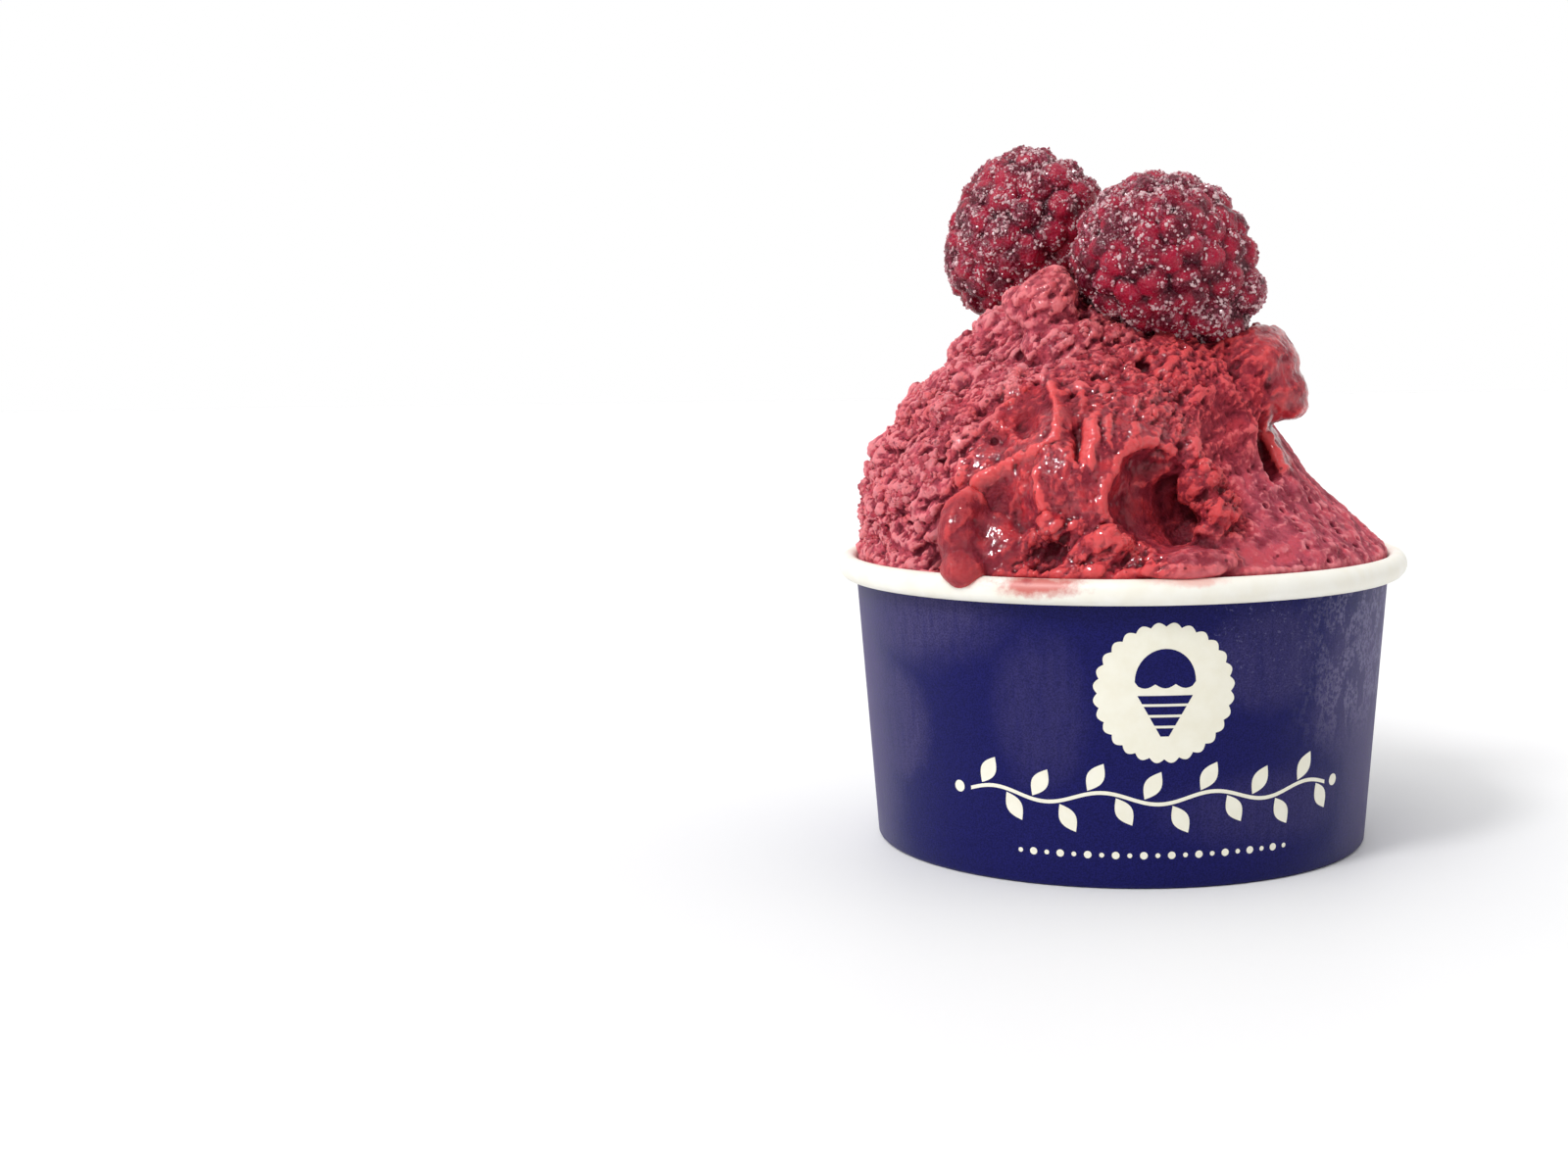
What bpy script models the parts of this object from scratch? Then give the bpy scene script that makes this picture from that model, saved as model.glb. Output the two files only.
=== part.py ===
"""A small paper cup heaped with raspberry gelato, with two frozen raspberries on top.

Lengths are in metres. +Z is up, the origin is the centre of the base on the table, and the
printed front of the cup faces -Y, with +X to the right of someone who looks at that front.
"""

import math
import random

import bmesh
import bpy
from mathutils import Matrix, Vector

MM = 0.001

# Paper cup, driving sizes
RIM_RADIUS = 40.0 * MM
CUP_HEIGHT = 41.0 * MM
BASE_RADIUS = 34.7 * MM
TOP_RADIUS = 37.7 * MM
PAPER = 0.4 * MM
ROLL_HEIGHT = 3.4 * MM
ROLL_END_DEG = -100
FLOOR_HEIGHT = 5.2 * MM
HEM_HEIGHT = 4.2 * MM
CLEARANCE = 0.3 * MM

# Paper cup, how finely it is turned
CUP_COLUMNS = 46
ROLL_STEPS = 8
LAP_HALF_DEG = 6.0
LAP_EDGE_DEG = 0.7

# Gelato, how its mass is fused and thinned out
FUSE_SIZE = 0.7 * MM
SOFTEN_STEPS = 3
CRAG_SIZE = 6.5 * MM
CRAG_DEPTH = 1.4 * MM
CRUMB_SIZE = 2.6 * MM
CRUMB_DEPTH = 0.9 * MM
MASS_SHARE_KEPT = 0.096

# The plug that fills the cup, and the slope that runs down from the heap to the rim: radius, height
PLUG = [
    (0.0, 4.0),
    (35.2, 4.0),
    (37.4, 36.0),
    (37.2, 41.3),
    (34.0, 44.4),
    (30.8, 47.1),
    (27.0, 51.0),
    (23.4, 56.0),
    (20.0, 61.0),
    (0.0, 63.0),
]

# Spatula loads pressed onto each other, in millimetres: centre, half sizes, turn about Z in degrees
LOADS = {
    "left_mass": ((-10.6, 1.0, 46.0), (25.6, 32.0, 23.6), 0),
    "left_shoulder": ((-15.0, -6.0, 52.0), (18.0, 22.0, 17.0), 20),
    "front_mass": ((-3.0, -9.5, 48.0), (20.0, 25.0, 21.5), 0),
    "back_mass": ((1.0, 12.0, 48.0), (22.5, 22.5, 20.0), -15),
    "neck": ((-0.8, 1.0, 63.0), (22.0, 19.5, 13.0), 0),
    "neck_left": ((-18.3, 1.0, 67.2), (5.6, 8.0, 5.0), 0),
    "crown": ((-8.0, 3.0, 71.6), (12.5, 12.5, 5.5), 0),
    "crown_right": ((10.0, -1.0, 66.0), (12.6, 12.0, 6.5), 0),
    "between_berries": ((-3.6, -6.0, 73.6), (4.6, 6.5, 4.8), 0),
    "front_wall": ((7.0, -12.0, 57.0), (12.0, 12.5, 12.5), 25),
    "right_lobe": ((18.3, -5.0, 66.3), (6.8, 8.0, 6.4), 0),
    "right_lobe_lip": ((21.2, -6.0, 62.6), (4.7, 5.6, 3.7), 0),
    "right_lobe_corner": ((23.4, -6.0, 61.2), (2.6, 4.6, 2.0), 0),
    "knob": ((-9.2, -12.0, 75.4), (4.0, 4.0, 5.4), 0),
    "knob_left": ((-12.8, -10.5, 76.0), (3.0, 3.0, 2.4), 0),
    "knob_root": ((-7.0, -12.5, 69.5), (6.0, 5.0, 4.5), 0),
    "central_fin": ((-6.4, -31.2, 52.6), (4.3, 3.4, 6.4), 0),
    "drip_lobe": ((-19.6, -30.6, 45.4), (3.6, 4.0, 5.6), -32),
    "drip_lobe_foot": ((-19.8, -33.2, 41.7), (3.2, 2.8, 2.6), -32),
    "rim_melt": ((8.2, -36.6, 42.0), (5.8, 2.1, 1.5), 12),
    "rim_melt_root": ((9.5, -34.0, 42.6), (6.5, 3.4, 2.2), 15),
    "lower_roll": ((-6.0, -31.2, 43.6), (9.0, 4.6, 4.2), -8),
    "nub_left": ((-7.9, -34.0, 47.2), (1.8, 1.7, 1.6), 0),
    "nub_mid": ((-5.2, -34.2, 46.9), (1.6, 1.7, 1.5), 0),
    "nub_right": ((-1.8, -34.8, 45.6), (2.6, 1.7, 1.5), 0),
    "back_fold": ((-8.0, 27.0, 54.0), (10.0, 6.0, 5.0), -20),
    "back_fold_low": ((10.0, 31.5, 46.0), (9.0, 4.0, 4.5), 20),
}

# Ridges that the spatula left, in millimetres: start, pull of the bend, end, radius
RIDGES = {
    "long_ridge": ((-8.0, -24.5, 64.5), (-6.6, -31.0, 60.5), (-10.5, -30.8, 57.2), 1.5),
    "long_ridge_low": ((-10.5, -30.8, 57.4), (-15.5, -29.4, 57.0), (-21.0, -29.6, 51.0), 1.4),
    "fin_edge": ((-10.2, -31.4, 56.8), (-13.4, -33.0, 51.6), (-8.8, -34.2, 48.3), 1.4),
    "short_ridge": ((-3.6, -25.4, 65.0), (-0.4, -31.2, 61.0), (-3.8, -30.9, 53.6), 1.6),
    "flake": ((-22.3, -24.0, 60.2), (-21.8, -27.0, 56.0), (-21.0, -28.4, 52.6), 1.3),
    "upper_ridge": ((-12.2, -15.8, 68.0), (-16.0, -22.0, 65.0), (-13.4, -24.2, 61.4), 1.6),
    "right_ridge": ((10.3, -19.8, 66.5), (11.3, -23.0, 58.5), (12.6, -29.2, 52.0), 1.2),
    "lobe_ridge": ((21.3, -8.5, 59.5), (22.6, -8.5, 55.5), (21.8, -14.0, 50.5), 1.3),
    "bowl_lip": ((5.1, -29.4, 58.2), (-6.0, -34.6, 53.5), (0.6, -34.8, 48.2), 1.3),
    "bowl_lip_low": ((0.6, -34.8, 48.3), (2.6, -35.2, 45.6), (6.0, -34.0, 43.6), 1.1),
    "foot_left": ((-23.0, -29.5, 41.9), (-12.9, -37.4, 41.9), (0.0, -37.4, 41.9), 1.2),
    "foot_right": ((0.0, -37.4, 41.9), (14.4, -37.4, 41.9), (25.0, -27.8, 41.9), 1.2),
    "back_ridge": ((-4.0, 22.0, 66.0), (2.0, 33.0, 60.0), (-4.0, 34.0, 48.0), 1.5),
    "back_ridge_right": ((12.0, 15.0, 66.0), (20.0, 24.0, 60.0), (22.0, 27.0, 48.0), 1.4),
}
RIDGE_BEADS = 14

# Places where the spatula scooped the mass away, in the same terms as the loads
SCOOPED = {
    "bowl": ((6.0, -34.6, 50.4), (6.4, 9.2, 6.5), -10),
    "bowl_roof": ((4.6, -33.0, 54.4), (4.6, 6.0, 4.0), 0),
    "under_lobe": ((21.0, -15.5, 56.4), (2.0, 6.0, 5.6), 20),
    "facet_low": ((-16.3, -35.0, 50.2), (3.5, 5.6, 4.4), 18),
    "dish": ((-11.6, -29.6, 61.8), (2.7, 5.4, 4.0), 20),
    "groove": ((-4.9, -32.6, 60.4), (1.4, 4.6, 6.0), 0),
    "hollow_left": ((-17.8, -31.0, 57.4), (2.5, 5.4, 2.5), 25),
    "hole_low": ((-9.2, -37.4, 43.9), (3.0, 3.0, 1.8), 0),
    "facet_right": ((15.8, -25.5, 60.5), (6.0, 8.4, 9.0), -30),
    "crease": ((-24.3, -30.2, 45.4), (1.0, 4.2, 4.6), -36),
    "back_hollow": ((16.0, 30.0, 58.0), (8.0, 9.0, 9.0), 30),
    "back_groove": ((-16.0, 34.0, 50.0), (9.0, 7.0, 4.6), -25),
}

# Lumps that stand in the hollows
LUMPS = {
    "bowl_lump": ((10.4, -26.4, 51.6), (3.2, 3.6, 2.9), 0),
    "bowl_lump_mid": ((12.6, -28.6, 48.6), (2.7, 2.9, 2.6), 0),
    "bowl_lump_low": ((11.2, -29.6, 46.0), (2.0, 2.2, 1.8), 0),
}

# Raspberries
BERRY_FACES_KEPT = 0.088
BERRY_TAPER = 0.14
BERRY_FULLNESS = 2.3
DRUPELET_PITCH = 5.1 * MM
TIP_DRUPELET_SHARE = 0.60
DRUPELET_SWELL = 0.535
CORE_SHARE = 0.78
SWELLING_TIGHTNESS = 6
SWELLING_ROOM = 7
STEM_HOLLOW_DEPTH = 5.5 * MM
STEM_HOLLOW_DEG = (16.0, 25.0)
BERRIES = {
    "raspberry_left": {
        "centre": (-13.5, 9.7, 85.7),
        "tip": (-0.60, -0.26, -0.76),
        "length": 25.4,
        "width": 22.8,
        "swelling": (-0.55, 0.0, -0.84),
        "swelling_share": 0.04,
        "seed": 4,
    },
    "raspberry_right": {
        "centre": (5.3, -7.2, 82.0),
        "tip": (-0.38, -0.91, 0.14),
        "length": 25.0,
        "width": 23.8,
        "swelling": (0.77, 0.08, -0.63),
        "swelling_share": 0.30,
        "seed": 11,
    },
}


def clear_scene():
    for obj in list(bpy.data.objects):
        bpy.data.objects.remove(obj)


def plain_material(name, colour, roughness):
    material = bpy.data.materials.new(name)
    material.use_nodes = True
    shader = material.node_tree.nodes["Principled BSDF"]
    shader.inputs["Base Color"].default_value = (*colour, 1.0)
    shader.inputs["Roughness"].default_value = roughness
    shader.inputs["Metallic"].default_value = 0.0
    return material


def object_of(name, mesh, material=None):
    obj = bpy.data.objects.new(name, mesh)
    bpy.context.scene.collection.objects.link(obj)
    if material:
        mesh.materials.append(material)
    return obj


def make_cutter(obj):
    obj.hide_render = True
    obj.display_type = "WIRE"
    return obj


def wall_radius(height):
    """Radius of the middle of the cup's paper at a height."""
    return BASE_RADIUS - PAPER / 2 + (TOP_RADIUS - BASE_RADIUS) * height / CUP_HEIGHT


def roll_centre():
    """Centre of the rolled rim's section, and its half sizes at the middle of the paper."""
    height = CUP_HEIGHT - ROLL_HEIGHT / 2
    inner = wall_radius(height)
    half_width = (RIM_RADIUS - PAPER / 2 - inner) / 2
    return (inner + half_width, height), (half_width, ROLL_HEIGHT / 2 - PAPER / 2)


def strip_outline(path, thickness):
    """Closed outline of a sheet of that thickness whose middle follows the path. Mitred corners."""
    sides = ([], [])
    for i, point in enumerate(path):
        before = Vector(path[max(i - 1, 0)])
        after = Vector(path[min(i + 1, len(path) - 1)])
        here = Vector(point)
        steps = [s.normalized() for s in (here - before, after - here) if s.length > 0]
        along = sum(steps, Vector((0, 0))).normalized()
        across = Vector((along.y, -along.x))
        stretch = 1 / max(across.dot(Vector((steps[0].y, -steps[0].x))), 0.5)
        for side, sign in zip(sides, (1, -1)):
            side.append(here + across * sign * stretch * thickness / 2)
    return sides[0], sides[1]


def turned(name, outline, angles, radius_of, touches_axis):
    """Mesh of an outline of (radius, height) points turned round Z through the given angles."""
    bm = bmesh.new()
    rings = []
    for index, (radius, height) in enumerate(outline):
        if touches_axis and index in (0, len(outline) - 1):
            pole = bm.verts.new((0, 0, height))
            rings.append([pole] * len(angles))
            continue
        ring = []
        for angle in angles:
            r = radius_of(index, radius, angle)
            ring.append(bm.verts.new((r * math.sin(angle), -r * math.cos(angle), height)))
        rings.append(ring)
    pairs = list(zip(rings, rings[1:]))
    if not touches_axis:
        pairs.append((rings[-1], rings[0]))
    for low, high in pairs:
        for k in range(len(angles)):
            n = (k + 1) % len(angles)
            corners = [low[k], low[n], high[n], high[k]]
            bm.faces.new(list(dict.fromkeys(corners)))
    bmesh.ops.recalc_face_normals(bm, faces=bm.faces)
    mesh = bpy.data.meshes.new(name)
    bm.to_mesh(mesh)
    bm.free()
    return mesh


def even_angles(count):
    return [2 * math.pi * k / count for k in range(count)]


def as_turned(index, radius, angle):
    return radius


def shade_smooth(mesh, sharp_deg):
    mesh.shade_smooth()
    mesh.set_sharp_from_angle(angle=math.radians(sharp_deg))


def cup_wall(material):
    """The side of the cup: one strip of paper with a folded hem, a glued lap and a rolled rim."""
    hem = wall_radius(0) - 2 * PAPER - 2 * CLEARANCE
    path = [(hem, HEM_HEIGHT), (hem, PAPER / 2), (wall_radius(0), PAPER / 2)]
    (centre_r, centre_z), (half_w, half_h) = roll_centre()
    path.append((wall_radius(centre_z - half_h), centre_z - half_h))
    for k in range(ROLL_STEPS + 1):
        turn = math.radians(180 + (ROLL_END_DEG - 180) * k / ROLL_STEPS)
        path.append((centre_r + half_w * math.cos(turn), centre_z + half_h * math.sin(turn)))
    outer, inner = strip_outline(path, PAPER)
    lapped = (2, 3)
    half_turn = math.pi
    lap = [math.radians(a) for a in (LAP_HALF_DEG, LAP_HALF_DEG + LAP_EDGE_DEG)]
    angles = sorted(
        even_angles(CUP_COLUMNS)
        + [half_turn + side * a for side in (-1, 1) for a in lap]
    )

    def with_lap(index, radius, angle):
        on_lap = index in lapped and abs(angle - half_turn) <= lap[0] + 1e-6
        return radius + PAPER if on_lap else radius

    mesh = turned("cup_wall", outer + inner[::-1], angles, with_lap, False)
    shade_smooth(mesh, 40)
    return object_of("cup_wall", mesh, material)


def cup_bottom(material):
    """The round floor of the cup, with a flange that hangs inside the hem."""
    flange = wall_radius(0) - PAPER - CLEARANCE
    path = [(0, FLOOR_HEIGHT), (flange, FLOOR_HEIGHT), (flange, PAPER + 2 * CLEARANCE)]
    upper, lower = strip_outline(path, PAPER)
    mesh = turned("cup_bottom", upper + lower[::-1], even_angles(CUP_COLUMNS), as_turned, True)
    shade_smooth(mesh, 40)
    return object_of("cup_bottom", mesh, material)


def cup_space_cutter():
    """All that the gelato must keep out of: the cup's floor, wall and rolled rim, with a clearance."""
    floor = FLOOR_HEIGHT + PAPER / 2 + CLEARANCE
    inset = PAPER / 2 + CLEARANCE
    outside, under = RIM_RADIUS + 12 * MM, -4 * MM
    (centre_r, centre_z), (half_w, half_h) = roll_centre()
    outline = [(0, floor), (wall_radius(floor) - inset, floor)]
    for k in range(ROLL_STEPS + 1):
        turn = math.pi * (1 - k / ROLL_STEPS)
        r = centre_r + (half_w + inset) * math.cos(turn)
        outline.append((r, centre_z + (half_h + inset) * math.sin(turn)))
    outline += [(outside, centre_z), (outside, under), (0, under)]
    mesh = turned("cup_space", outline, even_angles(CUP_COLUMNS), as_turned, True)
    return make_cutter(object_of("cup_space", mesh))


def ellipsoids(name, table, detail):
    """One mesh of closed, still overlapping ellipsoids, from a table in millimetres."""
    bm = bmesh.new()
    for centre, half_sizes, turn_deg in table.values():
        place = (
            Matrix.Translation(Vector(centre) * MM)
            @ Matrix.Rotation(math.radians(turn_deg), 4, "Z")
            @ Matrix.Diagonal((*(Vector(half_sizes) * MM), 1))
        )
        bmesh.ops.create_icosphere(bm, subdivisions=detail, radius=1, matrix=place)
    mesh = bpy.data.meshes.new(name)
    bm.to_mesh(mesh)
    bm.free()
    return mesh


def ridge_beads():
    """Overlapping beads along the ridges' curves, in the terms of the loads."""
    table = {}
    for name, (start, pull, end, radius) in RIDGES.items():
        for k in range(RIDGE_BEADS):
            t = k / (RIDGE_BEADS - 1)
            ends = Vector(start) * (1 - t) ** 2 + Vector(end) * t**2
            centre = ends + Vector(pull) * 2 * t * (1 - t)
            size = radius * (0.75 + 0.25 * math.sin(math.pi * t))
            table[f"{name}_{k}"] = (tuple(centre), (size, size, size), 0)
    return table


def join_meshes(name, meshes):
    bm = bmesh.new()
    for mesh in meshes:
        bm.from_mesh(mesh)
        bpy.data.meshes.remove(mesh)
    joined = bpy.data.meshes.new(name)
    bm.to_mesh(joined)
    bm.free()
    return joined


def add_fuse(obj):
    fuse = obj.modifiers.new("fuse", "REMESH")
    fuse.mode = "VOXEL"
    fuse.voxel_size = FUSE_SIZE
    fuse.use_smooth_shade = True


def add_boolean(obj, other, operation):
    cut = obj.modifiers.new(operation.lower() + "_" + other.name, "BOOLEAN")
    cut.operation = operation
    cut.object = other
    return cut


def add_roughness(obj, name, size, depth):
    texture = bpy.data.textures.new(name, "CLOUDS")
    texture.noise_scale = size
    texture.noise_depth = 2
    texture.noise_basis = "BLENDER_ORIGINAL"
    push = obj.modifiers.new(name, "DISPLACE")
    push.texture = texture
    push.texture_coords = "GLOBAL"
    push.strength = depth
    push.mid_level = 0.5


def gelato(material, keep_out):
    """The whole mass of gelato, from the floor of the cup to the sockets that the berries sit in."""
    plug = turned("plug", [(r * MM, z * MM) for r, z in PLUG], even_angles(96), as_turned, True)
    beads = ellipsoids("ridges", ridge_beads(), 2)
    mesh = join_meshes("gelato", [plug, ellipsoids("loads", LOADS, 4)])
    obj = object_of("gelato", mesh, material)
    scooped = make_cutter(object_of("scooped", ellipsoids("scooped", SCOOPED, 4)))
    stands = join_meshes("stands", [beads, ellipsoids("lumps", LUMPS, 3)])
    lumps = make_cutter(object_of("lumps", stands))
    add_fuse(scooped)
    add_fuse(obj)
    add_boolean(obj, scooped, "DIFFERENCE")
    add_fuse(lumps)
    add_boolean(obj, lumps, "UNION")
    add_fuse(obj)
    soften = obj.modifiers.new("soften", "SMOOTH")
    soften.factor = 0.5
    soften.iterations = SOFTEN_STEPS
    add_roughness(obj, "crags", CRAG_SIZE, CRAG_DEPTH)
    add_roughness(obj, "crumbs", CRUMB_SIZE, CRUMB_DEPTH)
    thin = obj.modifiers.new("thin", "DECIMATE")
    thin.ratio = MASS_SHARE_KEPT
    for cutter in keep_out:
        add_boolean(obj, cutter, "DIFFERENCE")
    return obj


def berry_turn(spec):
    return Vector(spec["tip"]).to_track_quat("Z", "Y").to_matrix()


def berry_form(spec):
    """Half length, half width, and the way and share in which one side swells, in the berry's frame."""
    swelling = berry_turn(spec).transposed() @ Vector(spec["swelling"]).normalized()
    return spec["length"] / 2 * MM, spec["width"] / 2 * MM, swelling, spec["swelling_share"]


def swollen(direction, form):
    """How much further out the surface lies in that direction because of the swelling."""
    return 1 + form[3] * max(0.0, direction.dot(form[2])) ** SWELLING_TIGHTNESS


def berry_body(direction, form):
    """Distance from the berry's centre to its smooth thimble shape, whose tip points along +Z."""
    side = form[1] * (1.0 - BERRY_TAPER * direction.z)
    across = math.hypot(direction.x, direction.y)
    share = (across / side) ** BERRY_FULLNESS + (abs(direction.z) / form[0]) ** BERRY_FULLNESS
    return share ** (-1 / BERRY_FULLNESS) * swollen(direction, form)


def drupelet_pitch(polar):
    """Distance between neighbouring drupelets, which are small round the tip."""
    grown = min(1.0, polar / 1.1)
    return DRUPELET_PITCH * (TIP_DRUPELET_SHARE + (1 - TIP_DRUPELET_SHARE) * grown)


def drupelets(form, seed):
    """Centres and radii of the drupelets, in rings from the tip to the stem end."""
    chance = random.Random(seed)
    found = []
    polar = 0.08
    while polar < math.pi - 0.15:
        pitch = drupelet_pitch(polar)
        side = Vector((math.sin(polar), 0, math.cos(polar)))
        reach = berry_body(side, form) / swollen(side, form)
        round_this = max(1, round(2 * math.pi * reach * math.sin(polar) / pitch))
        start = chance.uniform(0, 2 * math.pi)
        for k in range(round_this):
            turn = start + 2 * math.pi * (k + chance.uniform(-0.12, 0.12)) / round_this
            tilt = polar + chance.uniform(-0.05, 0.05)
            level = (math.sin(tilt) * math.cos(turn), math.sin(tilt) * math.sin(turn))
            direction = Vector((*level, math.cos(tilt)))
            radius = pitch * DRUPELET_SWELL * chance.uniform(0.90, 1.12) * swollen(direction, form)
            found.append((direction * (berry_body(direction, form) - radius), radius))
        polar += 0.88 * pitch / reach
    return found


def berry_reach(direction, beads, form):
    """Distance from the berry's centre to its surface: drupelets, the core between them, the hollow."""
    reach = CORE_SHARE * berry_body(direction, form)
    for centre, radius in beads:
        along = direction.dot(centre)
        inside = along * along - centre.length_squared + radius * radius
        if inside > 0:
            reach = max(reach, along + math.sqrt(inside))
    off_stem = math.degrees(math.acos(max(-1.0, min(1.0, -direction.z))))
    low, high = STEM_HOLLOW_DEG
    if off_stem < high:
        share = min(1.0, (high - off_stem) / (high - low))
        reach += share * (form[0] - STEM_HOLLOW_DEPTH - reach)
    return reach


def star_mesh(name, detail, spec, reach_of):
    """An icosphere whose points are pushed out to the distance that reach_of gives, in its place."""
    bm = bmesh.new()
    bmesh.ops.create_icosphere(bm, subdivisions=detail, radius=1)
    for vert in bm.verts:
        direction = vert.co.normalized()
        vert.co = direction * reach_of(direction)
    bm.transform(Matrix.Translation(Vector(spec["centre"]) * MM) @ berry_turn(spec).to_4x4())
    mesh = bpy.data.meshes.new(name)
    bm.to_mesh(mesh)
    bm.free()
    return mesh


def raspberry(name, spec, material):
    form = berry_form(spec)
    beads = drupelets(form, spec["seed"])

    def reach_of(direction):
        return berry_reach(direction, beads, form)

    mesh = star_mesh(name, 6, spec, reach_of)
    mesh.shade_smooth()
    obj = object_of(name, mesh, material)
    thin = obj.modifiers.new("thin", "DECIMATE")
    thin.ratio = BERRY_FACES_KEPT
    return obj


def berry_socket(name, spec):
    """The smooth space that a berry and its clearance take out of the gelato."""
    form = berry_form(spec)

    def reach_of(direction):
        room = CLEARANCE * (1 + SWELLING_ROOM * (swollen(direction, form) - 1))
        return berry_body(direction, form) + room

    return make_cutter(object_of(name + "_socket", star_mesh(name + "_socket", 4, spec, reach_of)))


def main():
    clear_scene()
    printed_paper = plain_material("printed_paper", (0.045, 0.035, 0.23), 0.45)
    white_paper = plain_material("white_paper", (0.86, 0.84, 0.78), 0.55)
    gelato_red = plain_material("gelato_red", (0.52, 0.055, 0.075), 0.4)
    berry_red = plain_material("berry_red", (0.30, 0.02, 0.05), 0.45)
    cup_wall(printed_paper)
    cup_bottom(white_paper)
    keep_out = [cup_space_cutter()]
    for name, spec in BERRIES.items():
        raspberry(name, spec, berry_red)
        keep_out.append(berry_socket(name, spec))
    gelato(gelato_red, keep_out)


main()
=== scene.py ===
"""Looks of a small paper cup heaped with raspberry gelato, with two frozen raspberries on top.

Lengths are in metres, apart from the tables and names that say millimetres. +Z is up, and the
printed front of the cup faces -Y. The large forms are the solid model's, at a finer
step. The crumb, the smears, the pores, the finer crests and hollows, and the frost are added here.
"""

import math
import random
from contextlib import contextmanager

import bmesh
import bpy
import numpy as np
from mathutils import Matrix, Vector
from mathutils.kdtree import KDTree


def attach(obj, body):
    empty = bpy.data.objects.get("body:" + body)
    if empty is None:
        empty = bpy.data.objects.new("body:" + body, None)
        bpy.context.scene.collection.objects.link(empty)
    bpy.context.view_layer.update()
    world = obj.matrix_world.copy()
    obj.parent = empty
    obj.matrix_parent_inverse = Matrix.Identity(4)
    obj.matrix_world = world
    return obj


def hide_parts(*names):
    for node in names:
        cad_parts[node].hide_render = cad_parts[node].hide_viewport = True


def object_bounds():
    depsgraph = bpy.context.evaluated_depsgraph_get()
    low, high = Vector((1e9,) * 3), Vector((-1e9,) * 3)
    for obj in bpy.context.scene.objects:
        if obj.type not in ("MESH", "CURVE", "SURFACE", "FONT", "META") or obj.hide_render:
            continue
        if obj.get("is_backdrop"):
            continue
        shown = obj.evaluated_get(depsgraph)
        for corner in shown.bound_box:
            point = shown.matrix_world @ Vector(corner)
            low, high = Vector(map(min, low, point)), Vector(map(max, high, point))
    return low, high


MM = 0.001

# Paper cup
RIM_RADIUS = 40.0 * MM
CUP_HEIGHT = 41.0 * MM
BASE_RADIUS = 34.7 * MM
TOP_RADIUS = 37.7 * MM
PAPER = 0.4 * MM
ROLL_HEIGHT = 3.4 * MM
ROLL_END_DEG = -100
FLOOR_HEIGHT = 5.2 * MM
HEM_HEIGHT = 4.2 * MM
CLEARANCE = 0.3 * MM
CUP_COLUMNS = 240
ROLL_STEPS = 26
WALL_STEPS = 12
HEM_BEND = 0.35 * MM
FLANGE_BEND = 0.6 * MM
WALL_SLOPE = (TOP_RADIUS - BASE_RADIUS) / CUP_HEIGHT
LAP_HALF_DEG = 6.0
LAP_EDGE_DEG = 0.7
LAP_HEIGHTS = (0.5 * MM, 37.4 * MM)
LAP_INSIDE = 34.3 * MM

# Print, in degrees round the cup from the front, and millimetres above the table
BADGE_DEG = 9.5
BADGE_HEIGHT = 26.1
BORDER_DEG = 8.5
BORDER_HEIGHT = 12.2
DOTS_HEIGHT = 4.6
PRINT_PROUD = 0.03 * MM
FIGURE_PROUD = 0.05 * MM
PRINT_BITE = 0.05 * MM
PRINT_CUTS = 40
PRINT_CUT_STEP = 1.2

# Pale patches that dull the print, strongest in two wide ones over its whole height along the
# cup's left and right edges: middle and half width in degrees, middle and half height in
# millimetres, strength, softness of the edge
HAZE = [
    (-62, 17, 19.5, 8.5, 0.17, 0.25),
    (-88, 26, 22.0, 24.0, 0.42, 0.60),
    (-54, 26, 35.5, 6.5, 0.20, 0.50),
    (-16, 9, 23.5, 9.5, 0.09, 0.40),
    (32, 13, 30.0, 6.5, 0.12, 0.35),
    (60, 15, 25.0, 11.0, 0.22, 0.40),
    (80, 22, 22.0, 24.0, 0.38, 0.60),
    (36, 22, 10.0, 4.5, 0.10, 0.50),
]

# Melted gelato that has stained the rim, in millimetres: middle, reach, colour, strength. The
# first row is partly a painted shadow under the drip lobe, darker than the stain alone
STAINS_AND_SHADOW = [
    # partly stain and partly painted shadow under the drip lobe
    ((-10.4, -38.6, 40.2), (8.0, 3.4, 1.9), (208, 112, 104), 1.0),
    ((-11.4, -38.8, 40.9), (1.3, 2.0, 0.8), (172, 44, 50), 0.95),
    ((-8.4, -39.6, 39.0), (0.9, 1.2, 0.6), (206, 110, 104), 0.7),
    ((10.0, -38.6, 40.8), (7.0, 2.5, 1.0), (236, 160, 146), 0.6),
    ((-19.5, -34.5, 40.4), (4.0, 3.0, 1.1), (232, 150, 140), 0.6),
]

# Gelato, its fused mass
FUSE_SIZE = 0.28 * MM
SOFTEN_STEPS = 6
CRAG_SIZE = 6.5 * MM
CRAG_DEPTH = 0.8 * MM
CRUMB_SIZE = 2.6 * MM
CRUMB_DEPTH = 0.25 * MM
OPEN_HEIGHT = 36.2 * MM
GELATO_FLOOR = 5.8 * MM
HEAP_TRIANGLES = 192000
TOUCH = 0.04 * MM
FREE_FROM_CUP = 1.3 * MM
SOCKET_BITE = 0.3 * MM

# The plug in the cup's mouth, and the slope from the heap to the rim: radius and height in mm
PLUG = [
    (0.0, 34.0),
    (37.4, 34.0),
    (37.4, 36.0),
    (37.2, 41.3),
    (34.0, 44.4),
    (30.8, 47.1),
    (27.0, 51.0),
    (23.4, 56.0),
    (20.0, 61.0),
    (0.0, 63.0),
]

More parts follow.
